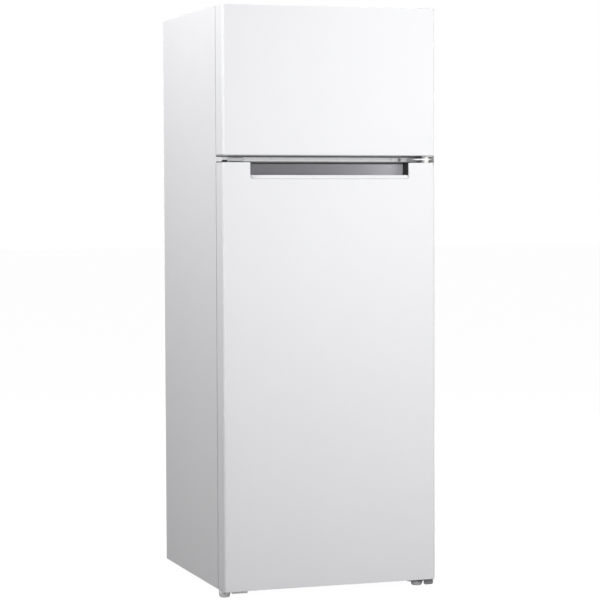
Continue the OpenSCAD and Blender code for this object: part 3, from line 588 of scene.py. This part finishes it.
def ring_rows(y_door, inset):
    """Rows over a door's raised ring and down into its dish, below the surface by inset."""
    ring_y = y_door + RING_H - inset
    dish_y = y_door + DISH - inset
    foot, rim, bowl, draft = 0.003, 0.004, 0.006, 0.0008
    outer, inner = inset + draft, RING_W - inset - draft
    return (quarter((inset - foot, y_door), (inset, y_door + foot), True)
            + quarter((outer, ring_y - rim), (outer + rim, ring_y), False)
            + quarter((inner - rim, ring_y), (inner, ring_y - rim), True)
            + quarter((inner + draft, dish_y + bowl), (inner + draft + bowl, dish_y), False))


def door_liner(door):
    """The moulded inner panel: a ring with round edges, the dish in it and the racks' lugs."""
    name = f"{door}_liner"
    (x0, y0, z0), (x1, _, z1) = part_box(name)
    y_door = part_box(f"{door}_skin")[1][1]
    half, low, high = RINGS[door]
    inner = half - RING_W
    made = bmesh.new()
    plate = [(0, y0), (0, y_door - 0.0004), (0.0004, y_door)]
    skin_over(made, inset_loops((x0, x1, z0, z1), plate, "y", 0.006)
              + inset_loops((-half, half, low, high), ring_rows(y_door, 0), "y",
                            RING_CORNER), first=False)
    lug_out, lug_root, lug_front, lug_back = 0.007, 0.0008, DISH + 0.006, DISH + 0.018
    for level in RACKS[door]:
        z = level + LUG_RISE
        for s in (-1, 1):
            edges = sorted((s * (inner - lug_out), s * (inner + lug_root)))
            slab(made, round_rectangle(*edges, z, z + LUG_H, 0.0015, 3), "y",
                 y_door + lug_front, y_door + lug_back)
    add_piece(f"{name}_finished", made, SLOT_OF[name], BODY_OF[name], [name])


def door_foam(door):
    """The foam in a door: set back behind the folds of the steel, round under the liner."""
    name = f"{door}_foam"
    set_back, liner = 0.0032, 0.0016
    made = cad_copy(name)
    (_, y0, _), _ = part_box(name)
    y_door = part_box(f"{door}_skin")[1][1]
    for v in made.verts:
        v.co.y = min(max(v.co.y, y0 + set_back), y_door - liner)
    bmesh.ops.remove_doubles(made, verts=made.verts[:], dist=2e-6)
    half, low, high = RINGS[door]
    # The ring's rows from the top of the fillet at its foot
    rows = ring_rows(y_door, liner)[6:]
    skin_over(made, inset_loops((-half, half, low, high), rows, "y", RING_CORNER))
    add_piece(f"{name}_finished", made, "foam", BODY_OF[name], [name])


def door_gasket(door):
    """The soft seal: a dart base, a folded bellows and a flat magnetic face."""
    name = f"{door}_gasket"
    (x0, y0, z0), (x1, y1, z1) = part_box(name)
    width, deep = 0.012, y1 - y0
    half_profile = [(0.0, 0.0), (0.0, 0.0006), (0.0006, 0.0010), (0.0020, 0.0012),
                    (0.0026, 0.0016), (0.0018, 0.0022), (0.0012, 0.0030), (0.0013, 0.0042),
                    (0.0020, deep)]
    rows = [(e, y0 + d) for e, d in half_profile]
    rows += [(width - e, y0 + d) for e, d in half_profile[::-1]]
    made = bmesh.new()
    skin_over(made, inset_loops((x0, x1, z0, z1), rows, "y", 0.003), closed=True)
    add_piece(f"{name}_finished", made, SLOT_OF[name], BODY_OF[name], [name])


def tub_rows(low, top, floor, wall, edge, draft, lip):
    """Rows of an open moulded tub from the middle of its underside to that of its floor."""
    rows = quarter((draft + edge + lip, low), (draft + lip, low + edge), True)
    rows += [(lip, top - 0.0036), (lip * 0.5, top - 0.0034), (0, top - 0.0030), (0, top - 0.0008),
             (0.0003, top - 0.0002), (0.0009, top), (lip + wall - 0.0008, top),
             (lip + wall - 0.0002, top - 0.0002), (lip + wall, top - 0.0008)]
    inner = draft + lip + wall
    return rows + quarter((inner, floor + edge), (inner + edge, floor), False)


def door_rack(name):
    """A moulded rack with a rolled rim, a step round its foot and ears over the lugs."""
    (_, y0, z0), (x1, y1, z1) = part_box(name)
    ear_out, floor_t, wall, corner, rim_out = 0.007, 0.002, 0.0016, 0.010, 0.002
    half = x1 - ear_out
    lug_z = z0 + LUG_RISE
    ear_z = lug_z + LUG_H
    ear_top, ear_stem, ear_back = ear_z + 0.004, y0 + 0.0047, y0 + 0.019
    ear = [(y0, lug_z), (ear_stem, lug_z), (ear_stem, ear_z), (ear_back, ear_z),
           (ear_back, ear_top), (y0, ear_top)]
    made = bmesh.new()
    for s in (-1, 1):
        slab(made, ear, "x", *sorted((s * (half - 0.0018), s * x1)))
    round_edges(made, 0.0006, 2, every_edge)
    step = z0 + 0.016
    rows = tub_rows(z0, z1, z0 + floor_t, wall, 0.004, 0.0012, 0.0012)
    rows[7:7] = [(0.0024, step), (0.0016, step + 0.0008)]
    skin_over(made, inset_loops((-half, half, y0, y1 - rim_out), rows, "z", corner))
    rim = [(0.0, z1 - 0.003), (0.0, z1 - 0.0008), (0.0006, z1), (0.0028, z1),
           (0.0028, z1 - 0.003)]
    skin_over(made, inset_loops((-half, half, y0, y1), rim, "z", corner), closed=True)
    add_piece(f"{name}_finished", made, SLOT_OF[name], BODY_OF[name], [name])


# ---- Compartments ----

# Each compartment's clear space: half width, floor, ceiling and back wall
SPACES = {"fridge_liner": (0.2305, 0.070, 1.0255, 0.2055),
          "freezer_liner": (0.2175, 1.0915, 1.372, 0.1955)}
LONG_CORNER = 0.012
BACK_CORNER = 0.014
# The front and top of the fridge's step over the machine compartment
STEP = (0.068, 0.250)
# The tops of the ledges that carry the shelves
LEDGES = {"fridge_liner": (0.275, 0.470, 0.650, 0.830), "freezer_liner": (1.225,)}


def wall_line(name, start, inset):
    """A compartment's outline in (y, z), open at the front, set in from its walls."""
    _, floor, ceiling, back = SPACES[name]
    r = BACK_CORNER
    points = [(start, floor + inset)]
    if name == "fridge_liner":
        step_y, step_z = STEP
        turn = 0.008
        points += arc((step_y - r, floor + r), r - inset, -90, 0, 6)
        points += arc((step_y + turn, step_z - turn), turn + inset, 180, 90, 6)
        floor = step_z
    points += arc((back - r, floor + r), r - inset, -90, 0, 6)
    points += arc((back - r, ceiling - r), r - inset, 0, 90, 6)
    return points + [(start, ceiling - inset)]


def compartment(name):
    """A liner's visible skin: rim, walls with round corners, and the shelves' ledges."""
    (x0, y0, z0), (x1, _, z1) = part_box(name)
    half, floor, ceiling, back = SPACES[name]
    rim = 0.004
    made = bmesh.new()
    flange = inset_loops((x0, x1, z0, z1), [(0, y0)], "y", 0.003)
    mouth = inset_loops((-half, half, floor, ceiling),
                        quarter((-rim, y0), (0, y0 + rim), True), "y", LONG_CORNER)
    skin_over(made, flange + mouth, first=False, last=False)
    walls = []
    for side in (-1, 1):
        turns = range(6, -1, -1) if side < 0 else range(7)
        for i in turns:
            a = math.radians(15 * i)
            x = side * (half - LONG_CORNER * (1 - math.sin(a)))
            walls.append(raised(wall_line(name, y0 + rim, LONG_CORNER * (1 - math.cos(a))),
                                "x", x))
    skin_over(made, walls, wrap=False)
    bmesh.ops.remove_doubles(made, verts=made.verts[:], dist=1e-5)
    ledge_out, ledge_root, ledge_h, ledge_front = 0.008, 0.0006, 0.010, -0.114
    for z in LEDGES[name]:
        for s in (-1, 1):
            edges = sorted((s * (half - ledge_out), s * (half + ledge_root)))
            slab(made, round_rectangle(*edges, z - ledge_h, z, 0.002, 3), "y", ledge_front,
                 back - 0.002)
    add_piece(f"{name}_finished", made, SLOT_OF[name], BODY_OF[name], [name], sheet=0.001)


def drain_collar():
    """The raised mouth of the drain at the back of the step."""
    (x0, y0, _), (x1, y1, z1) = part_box("drain_tube")
    rows = [(-0.003, z1 - 0.0005), (-0.003, z1 + 0.004), (-0.0022, z1 + 0.005),
            (0.0012, z1 + 0.005), (0.002, z1 + 0.004), (0.0035, z1 + 0.0006)]
    made = bmesh.new()
    skin_over(made, inset_loops((x0, x1, y0, y1), rows, "z", 0.008), first=False)
    add_piece("drain_collar", made, "liner_plastic", "cabinet")


def crisper():
    """The drawer: a drafted tub behind a thick front with a finger recess."""
    (x0, y0, z0), (x1, y1, z1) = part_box("crisper_drawer")
    front_t, side, tub_front, floor_t = 0.012, 0.002, 0.009, 0.0025
    corner, round_r, grip_half, grip_run = 0.008, 0.003, 0.07, 0.002
    made = bmesh.new()
    rows = tub_rows(z0, z1, z0 + floor_t, 0.002, 0.006, 0.0035, 0.0018)
    skin_over(made, inset_loops((x0, x1, y0 + tub_front, y1), rows, "z", 0.014))
    ends = [(corner * (1 - math.sin(math.radians(15 * i))),
             corner * (1 - math.cos(math.radians(15 * i)))) for i in range(7)]
    stations = [(x0 + side + e, cut, 0.0) for e, cut in ends[::-1]]
    stations += [(-grip_half - grip_run, 0.0, 0.0), (-grip_half, 0.0, 1.0)]
    stations += [(grip_half, 0.0, 1.0), (grip_half + grip_run, 0.0, 0.0)]
    stations += [(x1 - side - e, cut, 0.0) for e, cut in ends]
    loops = []
    for x, cut, depth in stations:
        bottom, top = z0 + cut, z1 - cut
        recess = [(y0 + depth * d, z1 + h) for d, h in
                  ((0, -0.0275), (0.0035, -0.026), (0.0045, -0.023), (0.0045, -0.015),
                   (0.0035, -0.0125), (0, -0.012))]
        profile = ([(y0 + front_t, bottom)]
                   + arc((y0 + round_r, bottom + round_r), round_r, -90, -180, 4) + recess
                   + arc((y0 + round_r, top - round_r), round_r, 180, 90, 4)
                   + [(y0 + front_t, top)])
        loops.append(raised(profile, "x", x))
    skin_over(made, loops)
    add_piece("crisper_drawer_finished", made, SLOT_OF["crisper_drawer"], "crisper",
              ["crisper_drawer"])


# ---- Thermostat ----

def thermostat_scale():
    """Ticks round the knob, longer towards the cold end, and the knob's pointer line."""
    (x0, _, _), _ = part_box("thermostat_housing")
    (knob_x, ky0, kz0), (_, ky1, kz1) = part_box("thermostat_knob")
    y, z = (ky0 + ky1) / 2, (kz0 + kz1) / 2
    ticks, half_turn, half_w, proud, sunk = 9, 120, 0.0005, 0.00015, 0.0002
    made = bmesh.new()
    for i in range(ticks):
        a = math.radians(-half_turn + 2 * half_turn * i / (ticks - 1))
        r0, r1 = 0.0215, 0.0235 + 0.0004 * i
        out = Vector((0, math.sin(a), math.cos(a)))
        across = Vector((0, math.cos(a), -math.sin(a)))
        flat = [out * r + across * t
                for r, t in ((r0, -half_w), (r0, half_w), (r1, half_w), (r1, -half_w))]
        skin_over(made, [[Vector((level, y, z)) + p for p in flat]
                         for level in (x0 - proud, x0 + sunk)])
    add_piece("thermostat_scale", made, "dark_hinge_paint", "cabinet")
    made = bmesh.new()
    line = round_rectangle(y - 0.0006, y + 0.0006, z + 0.006, z + 0.0125, 0.0003, 2)
    slab(made, line, "x", knob_x - proud, knob_x + 0.0004)
    add_piece("thermostat_pointer", made, "dark_hinge_paint", "knob")


# ---- Handle ----

POCKET_LOW, POCKET_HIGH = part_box("handle_pocket")
LIP_LOW, LIP_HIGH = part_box("handle_lip")
POCKET_WALL = 0.002
# The pocket's front edge is set back behind the door's steel
POCKET_FRONT = POCKET_LOW[1] + 0.0035


def handle_grip():
    """The grey trough behind the door's notch, with round inner corners."""
    (x0, _, z0), (x1, y1, z1) = POCKET_LOW, POCKET_HIGH
    wall, front, fillet = POCKET_WALL, POCKET_FRONT, 0.005
    low = LIP_LOW[2]
    trough = ([(front, low), (front, z0), (y1, z0), (y1, z1), (y1 - wall, z1)]
              + arc((y1 - wall - fillet, z0 + wall + fillet), fillet, 0, -90, 6)
              + arc((front + wall + fillet, z0 + wall + fillet), fillet, -90, -180, 6)
              + [(front + wall, low)])
    made = bmesh.new()
    slab(made, trough, "x", x0 + wall, x1 - wall)
    add_piece("handle_grip", made, "grip_grey", "fridge_door", ["handle_pocket"])


def grip_ends_and_painted_shade():
    """The pocket's black end walls, and a black line of painted shade along its top for the
    shadow between the door's top and the rail.
    """
    (x0, _, z0), (x1, y1, z1) = POCKET_LOW, POCKET_HIGH
    (_, _, low), (_, lip_y1, lip_top) = LIP_LOW, LIP_HIGH
    wall, front, shade_line_h, edge_r = POCKET_WALL, POCKET_FRONT, 0.0032, 0.0004
    end = [(front, lip_top), (front, z1), (y1, z1), (y1, z0), (front, z0), (front, low),
           (lip_y1, low), (lip_y1, lip_top)]
    made = bmesh.new()
    for level in (x0, x1 - wall):
        slab(made, end[::-1], "x", level, level + wall)
    # A black line at the top of the pocket: painted shade for the shadowed gap under the rail.
    shade_line_y = y1 - wall
    shade_line = round_rectangle(shade_line_y - 0.0008, shade_line_y + 0.0004, z1 - shade_line_h, z1, edge_r, 2)
    slab(made, shade_line, "x", x0 + wall, x1 - wall)
    round_edges(made, edge_r, 2, lambda edge: all(
        abs(v.co.x) > x1 - wall + 1e-4 for v in edge.verts))
    add_piece("grip_ends_and_painted_shade", made, "black_plastic", "fridge_door", ["handle_pocket"])


def handle_lip():
    """The sloped white lip along the notch, its lower corners round and a fine seam below."""
    (_, y0, low), (_, y1, top) = LIP_LOW, LIP_HIGH
    seam, corner = 0.0004, NOTCH_CORNER
    half = POCKET_HIGH[0] - seam
    profile = [(y0, low + seam), (y0 + 0.0003, low + seam + 0.0004),
               (y0 + 0.0062, top - 0.0006), (y0 + 0.0072, top), (y1 - 0.001, top),
               (y1, top - 0.001), (y1, low + 0.004), (y0 + 0.0055, low + seam)]
    rounding = ((0.0, corner), (0.0018, 0.0022), (corner, 0.0))
    stations = [(-half + along, lift) for along, lift in rounding]
    stations += [(half - along, lift) for along, lift in rounding[::-1]]
    loops = []
    for x, lift in stations:
        floor = low + seam + lift
        loops.append([Vector((x, y, max(z, floor) if z < low + 0.003 else z))
                      for y, z in profile])
    made = bmesh.new()
    skin_over(made, loops)
    add_piece("handle_lip_finished", made, "white_plastic", "fridge_door", ["handle_lip"])


# ---- Rail between the doors ----

RAIL_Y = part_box("centre_crossrail")[0][1]
# The level halfway between the two doors
GAP_Z = (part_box("freezer_door_caps")[0][2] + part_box("fridge_door_caps")[1][2]) / 2


def rail_shade_strips():
    """Dark strips of painted shade along the rail, above and below its raised bar, where the gap
    between the doors is in shadow.
    """
    (x0, _, _), (x1, _, _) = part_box("cabinet_shell")
    bar_half, strip, end_gap, strip_t, strip_y = 0.005, 0.0045, 0.0015, 0.0008, RAIL_Y + 0.002
    made = bmesh.new()
    for s in (-1, 1):
        edges = sorted((GAP_Z + s * (bar_half + 0.0001), GAP_Z + s * (bar_half + strip)))
        slab(made, round_rectangle(x0 + end_gap, x1 - end_gap, *edges, 0.001, 2), "y",
             strip_y - strip_t, strip_y)
    # The strips' dark paint is painted shade for the shadow in the gap above and below the bar.
    add_piece("rail_shade_strips", made, "dark_hinge_paint", "cabinet")


def rail_marks():
    """A black patch of painted shade for the dark of the empty pin hole near the rail's left end,
    and a dark line of painted shadow round the long cover.
    """
    proud, sunk = 0.0003, 0.0005
    hole_x, hole_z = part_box("cabinet_shell")[0][0] + 0.0225, GAP_Z - 0.0038
    half_w, half_h = 0.0072, 0.0022
    made = bmesh.new()
    slab(made, round_rectangle(hole_x - half_w, hole_x + half_w, hole_z - half_h,
                               hole_z + half_h, half_h - 0.0001, 5),
         "y", RAIL_Y - proud, RAIL_Y + sunk)
    # A flat black patch: painted shade for the hole's dark inside.
    add_piece("rail_pin_hole_shade", made, "black_plastic", "cabinet")
    (x0, _, z0), (_, _, z1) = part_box("crossrail_plugs")
    x1 = max(v.co.x for v in NODES["crossrail_plugs"].data.vertices if v.co.x < 0)
    rim, under, sunk = 0.0011, 0.0003, 0.0004
    rows = [(-rim, RAIL_Y + sunk), (-rim, RAIL_Y - proud), (under, RAIL_Y - proud),
            (under, RAIL_Y + sunk)]
    made = bmesh.new()
    skin_over(made, inset_loops((x0, x1, z0, z1), rows, "y", (z1 - z0) / 2), closed=True)
    # A thin dark ring: painted shadow round the long cover.
    add_piece("rail_plug_shadow_gap", made, "dark_hinge_paint", "cabinet")


def hinge_side_cover():
    """A light strip that closes the gap's right end, outside the hinge's arm, with dark strips of
    painted shade along its edges.
    """
    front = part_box("freezer_door_caps")[0][1] + 0.004
    half_h, thick, clearance = 0.0058, 0.0012, 0.0004
    back, outside = RAIL_Y - clearance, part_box("fridge_door_caps")[1][0] - clearance
    made = bmesh.new()
    outline = round_rectangle(front, back, GAP_Z - half_h, GAP_Z + half_h, 0.002, 4)
    slab(made, outline, "x", outside - thick, outside)
    add_piece("hinge_side_cover", made, "hinge_paint", "cabinet")
    made = bmesh.new()
    # Dark strips above and below the cover: painted shade for the shadow at the doors' edges.
    for s in (-1, 1):
        edges = sorted((GAP_Z + s * (half_h + 0.0002), GAP_Z + s * (half_h + 0.0018)))
        slab(made, round_rectangle(front, back, *edges, 0.0005, 2), "x", outside - thick,
             outside - 0.0002)
    add_piece("hinge_side_shade_strips", made, "dark_hinge_paint", "cabinet")


# ---- Refrigerant pipes ----

def bent(points, radius):
    """A line of points with each inner corner turned into a smooth curve of about a radius."""
    steps = [i / 8 for i in range(9)]
    path = [points[0]]
    for before, corner, after in zip(points, points[1:], points[2:]):
        into, out = before - corner, after - corner
        half_angle = into.angle(out) / 2
        reach = min(radius / math.tan(half_angle), 0.45 * into.length, 0.45 * out.length)
        start = corner + into.normalized() * reach
        end = corner + out.normalized() * reach
        path += [start * (1 - t) ** 2 + corner * 2 * t * (1 - t) + end * t ** 2 for t in steps]
    return path + [points[-1]]


def pipe(made, points, radius, bend):
    """A round pipe along a route with smooth bends."""
    path = bent([Vector(p) for p in points], bend)
    angles = [2 * math.pi * k / 16 for k in range(16)]
    loops = []
    side = (path[1] - path[0]).orthogonal().normalized()
    for i, place in enumerate(path):
        ahead = (path[min(i + 1, len(path) - 1)] - path[max(i - 1, 0)]).normalized()
        side = (side - ahead * side.dot(ahead)).normalized()
        other = ahead.cross(side)
        loops.append([place + (side * math.cos(a) + other * math.sin(a)) * radius
                      for a in angles])
    skin_over(made, loops)


def filter_drier(made, x, y, low, height):
    """A copper can with necked ends."""
    radius, shoulder, neck, neck_h, rounding = 0.009, 0.0088, 0.003, 0.008, 0.001
    rows = [(neck, -neck_h), (shoulder, 0.0), (radius, rounding), (radius, height - rounding),
            (shoulder, height), (neck, height + neck_h)]
    skin_over(made, [circle((x, y), r, low + z) for r, z in rows])


def refrigerant_pipes():
    """Hot pipe, condenser outlet, filter drier, capillary and suction pipe."""
    (_, back0, low), (half, back1, high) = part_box("condenser_tube")
    (tray_x0, tray_y0, _), (tray_x1, tray_y1, _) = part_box("evaporation_tray")
    wall_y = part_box("compressor_plate")[0][1]
    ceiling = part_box("rear_panel")[0][2] - 0.001
    tube_r, capillary_r, suction_r, bend = (back1 - back0) / 2, 0.0015, 0.0035, 0.030
    y, run_end = (back0 + back1) / 2, bend + tube_r - half
    first_z, last_z = low + tube_r, high - tube_r
    pot_x, pot_y = (tray_x0 + tray_x1) / 2, (tray_y0 + tray_y1) / 2
    down_x, outlet_x, drier_x, drier_y = -0.252, -0.230, -0.215, y - 0.040
    drier_low, drier_h = 0.110, 0.056
    suction_x, suction_y = pot_x + 0.040, wall_y + 0.008
    hot_pipe = [(run_end, y, last_z), (down_x, y, last_z), (down_x, y, 0.175),
                (-0.140, y - 0.022, 0.160), (-0.140, pot_y - 0.050, 0.150),
                (pot_x - 0.050, pot_y - 0.050, 0.100)]
    outlet = [(run_end, y, first_z), (outlet_x, y, first_z), (outlet_x, y, 0.205),
              (drier_x, drier_y, drier_low + 0.062)]
    capillary = [(drier_x, drier_y, drier_low - 0.007), (drier_x, drier_y, 0.085),
                 (drier_x, wall_y + 0.020, 0.085), (drier_x, wall_y + 0.012, ceiling)]
    suction = [(suction_x, suction_y, ceiling), (suction_x, suction_y, 0.196),
               (0.170, wall_y + 0.020, 0.180), (0.170, pot_y - 0.020, 0.120),
               (pot_x + 0.066, pot_y, 0.115)]
    made = bmesh.new()
    pipe(made, hot_pipe, tube_r, 0.016)
    pipe(made, outlet, tube_r, 0.012)
    filter_drier(made, drier_x, drier_y, drier_low, drier_h)
    pipe(made, capillary, capillary_r, 0.012)
    pipe(made, suction, suction_r, 0.018)
    add_piece("refrigerant_pipes_bent", made, "copper", "cabinet", ["refrigerant_tubes"])


# ---- Feet ----

def foot(name):
    """A moulded foot with a grooved rim, and its threaded stud."""
    (x0, y0, _), (x1, y1, z1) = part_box(name)
    centre = ((x0 + x1) / 2, (y0 + y1) / 2)
    top_r, low_r, height = (x1 - x0) / 2, 0.012, 0.0098
    around, groove, grooves = 96, 0.0005, 16
    # Share of the cone's radius, level and whether the rim is grooved there
    profile = [(0.3, 0, 0), (0.93, 0, 0), (1.0, 0.0008, 0), (1.0, 0.0018, 0), (1.0, 0.0026, 1),
               (1.0, 0.0074, 1), (1.0, 0.0084, 0), (1.0, 0.0092, 0), (0.95, height, 0),
               (0.4, height, 0)]
    made = bmesh.new()
    skin_over(made, [circle(centre, share * (low_r + (top_r - low_r) * z / height), z, around,
                            groove * grooved, grooves) for share, z, grooved in profile])
    add_piece(f"{name}_finished", made, SLOT_OF[name], BODY_OF[name], [name])
    stud_r, thread, pitch, start = 0.004, 0.0005, 0.00125, height - 0.0006
    rings = []
    for i in range(int((z1 - height) / pitch)):
        z = start + i * pitch
        rings += [(stud_r - thread, z), (stud_r, z + 0.4 * pitch), (stud_r, z + 0.6 * pitch)]
    rings.append((stud_r - 0.0008, z1))
    made = bmesh.new()
    skin_over(made, [circle(centre, r, z) for r, z in rings])
    add_piece(f"{name}_stud", made, "zinc_steel", BODY_OF[name])


# ---- The whole refrigerator ----

cabinet_shell()
door_skin("freezer_door")
door_skin("fridge_door", notch=(POCKET_HIGH[0], LIP_LOW[2]))
for door in RINGS:
    door_caps(door)
    door_foam(door)
    door_liner(door)
    door_gasket(door)
for name in ("freezer_door_rack", "upper_door_rack", "middle_door_rack", "bottle_rack"):
    door_rack(name)
for name in SPACES:
    compartment(name)
drain_collar()
crisper()
thermostat_scale()
handle_grip()
grip_ends_and_painted_shade()
handle_lip()
rail_shade_strips()
rail_marks()
hinge_side_cover()
refrigerant_pipes()
foot("front_left_foot")
foot("front_right_foot")

# CAD nodes whose shape is right, with the radius that rounds their edges
SOFT_EDGES = {
    "rear_panel": 0.0002, "base_pan": 0.0002, "thermostat_housing": 0.0008,
    "lamp_switch_housing": 0.0005, "glass_shelves": 0.0006, "crisper_cover": 0.0006,
    "shelf_trims": 0.0006, "freezer_shelf": 0.0008, "top_hinge": 0.0004, "middle_hinge": 0.0004,
    "bottom_hinge": 0.0005, "left_foot_bracket": 0.0005, "compressor_plate": 0.0003,
    "roller_brackets": 0.0003, "evaporation_tray": 0.0005, "start_relay_box": 0.0012,
    "condenser_brackets": 0.0012, "centre_crossrail": 0.0003, "crossrail_plugs": 0.0004,
    "rear_left_roller": 0.0005, "rear_right_roller": 0.0005, "compressor": 0.0006,
}
for name, radius in SOFT_EDGES.items():
    softened(name, (radius, 3, every_edge))

# Small lights for the handle's pocket, the middle hinge and the feet, which reach nothing else
softbox("pocket_light", (0.36, -0.5, 1.02), (0.1, -0.24, 1.02), size=0.12, watts=2.8,
        in_reflections=False, only_on=["handle_grip"])
softbox("hinge_light", (-1.6, -1.6, 1.3), MIDDLE, size=0.8, watts=6, in_reflections=False,
        only_on=["middle_hinge_finished", "hinge_side_cover"])
softbox("foot_light", (-1.0, -2.4, 0.25), (0, -0.23, 0), size=0.5, watts=18,
        in_reflections=False,
        only_on=["front_left_foot_finished", "front_right_foot_finished",
                 "left_foot_bracket_finished", "bottom_hinge_finished"])
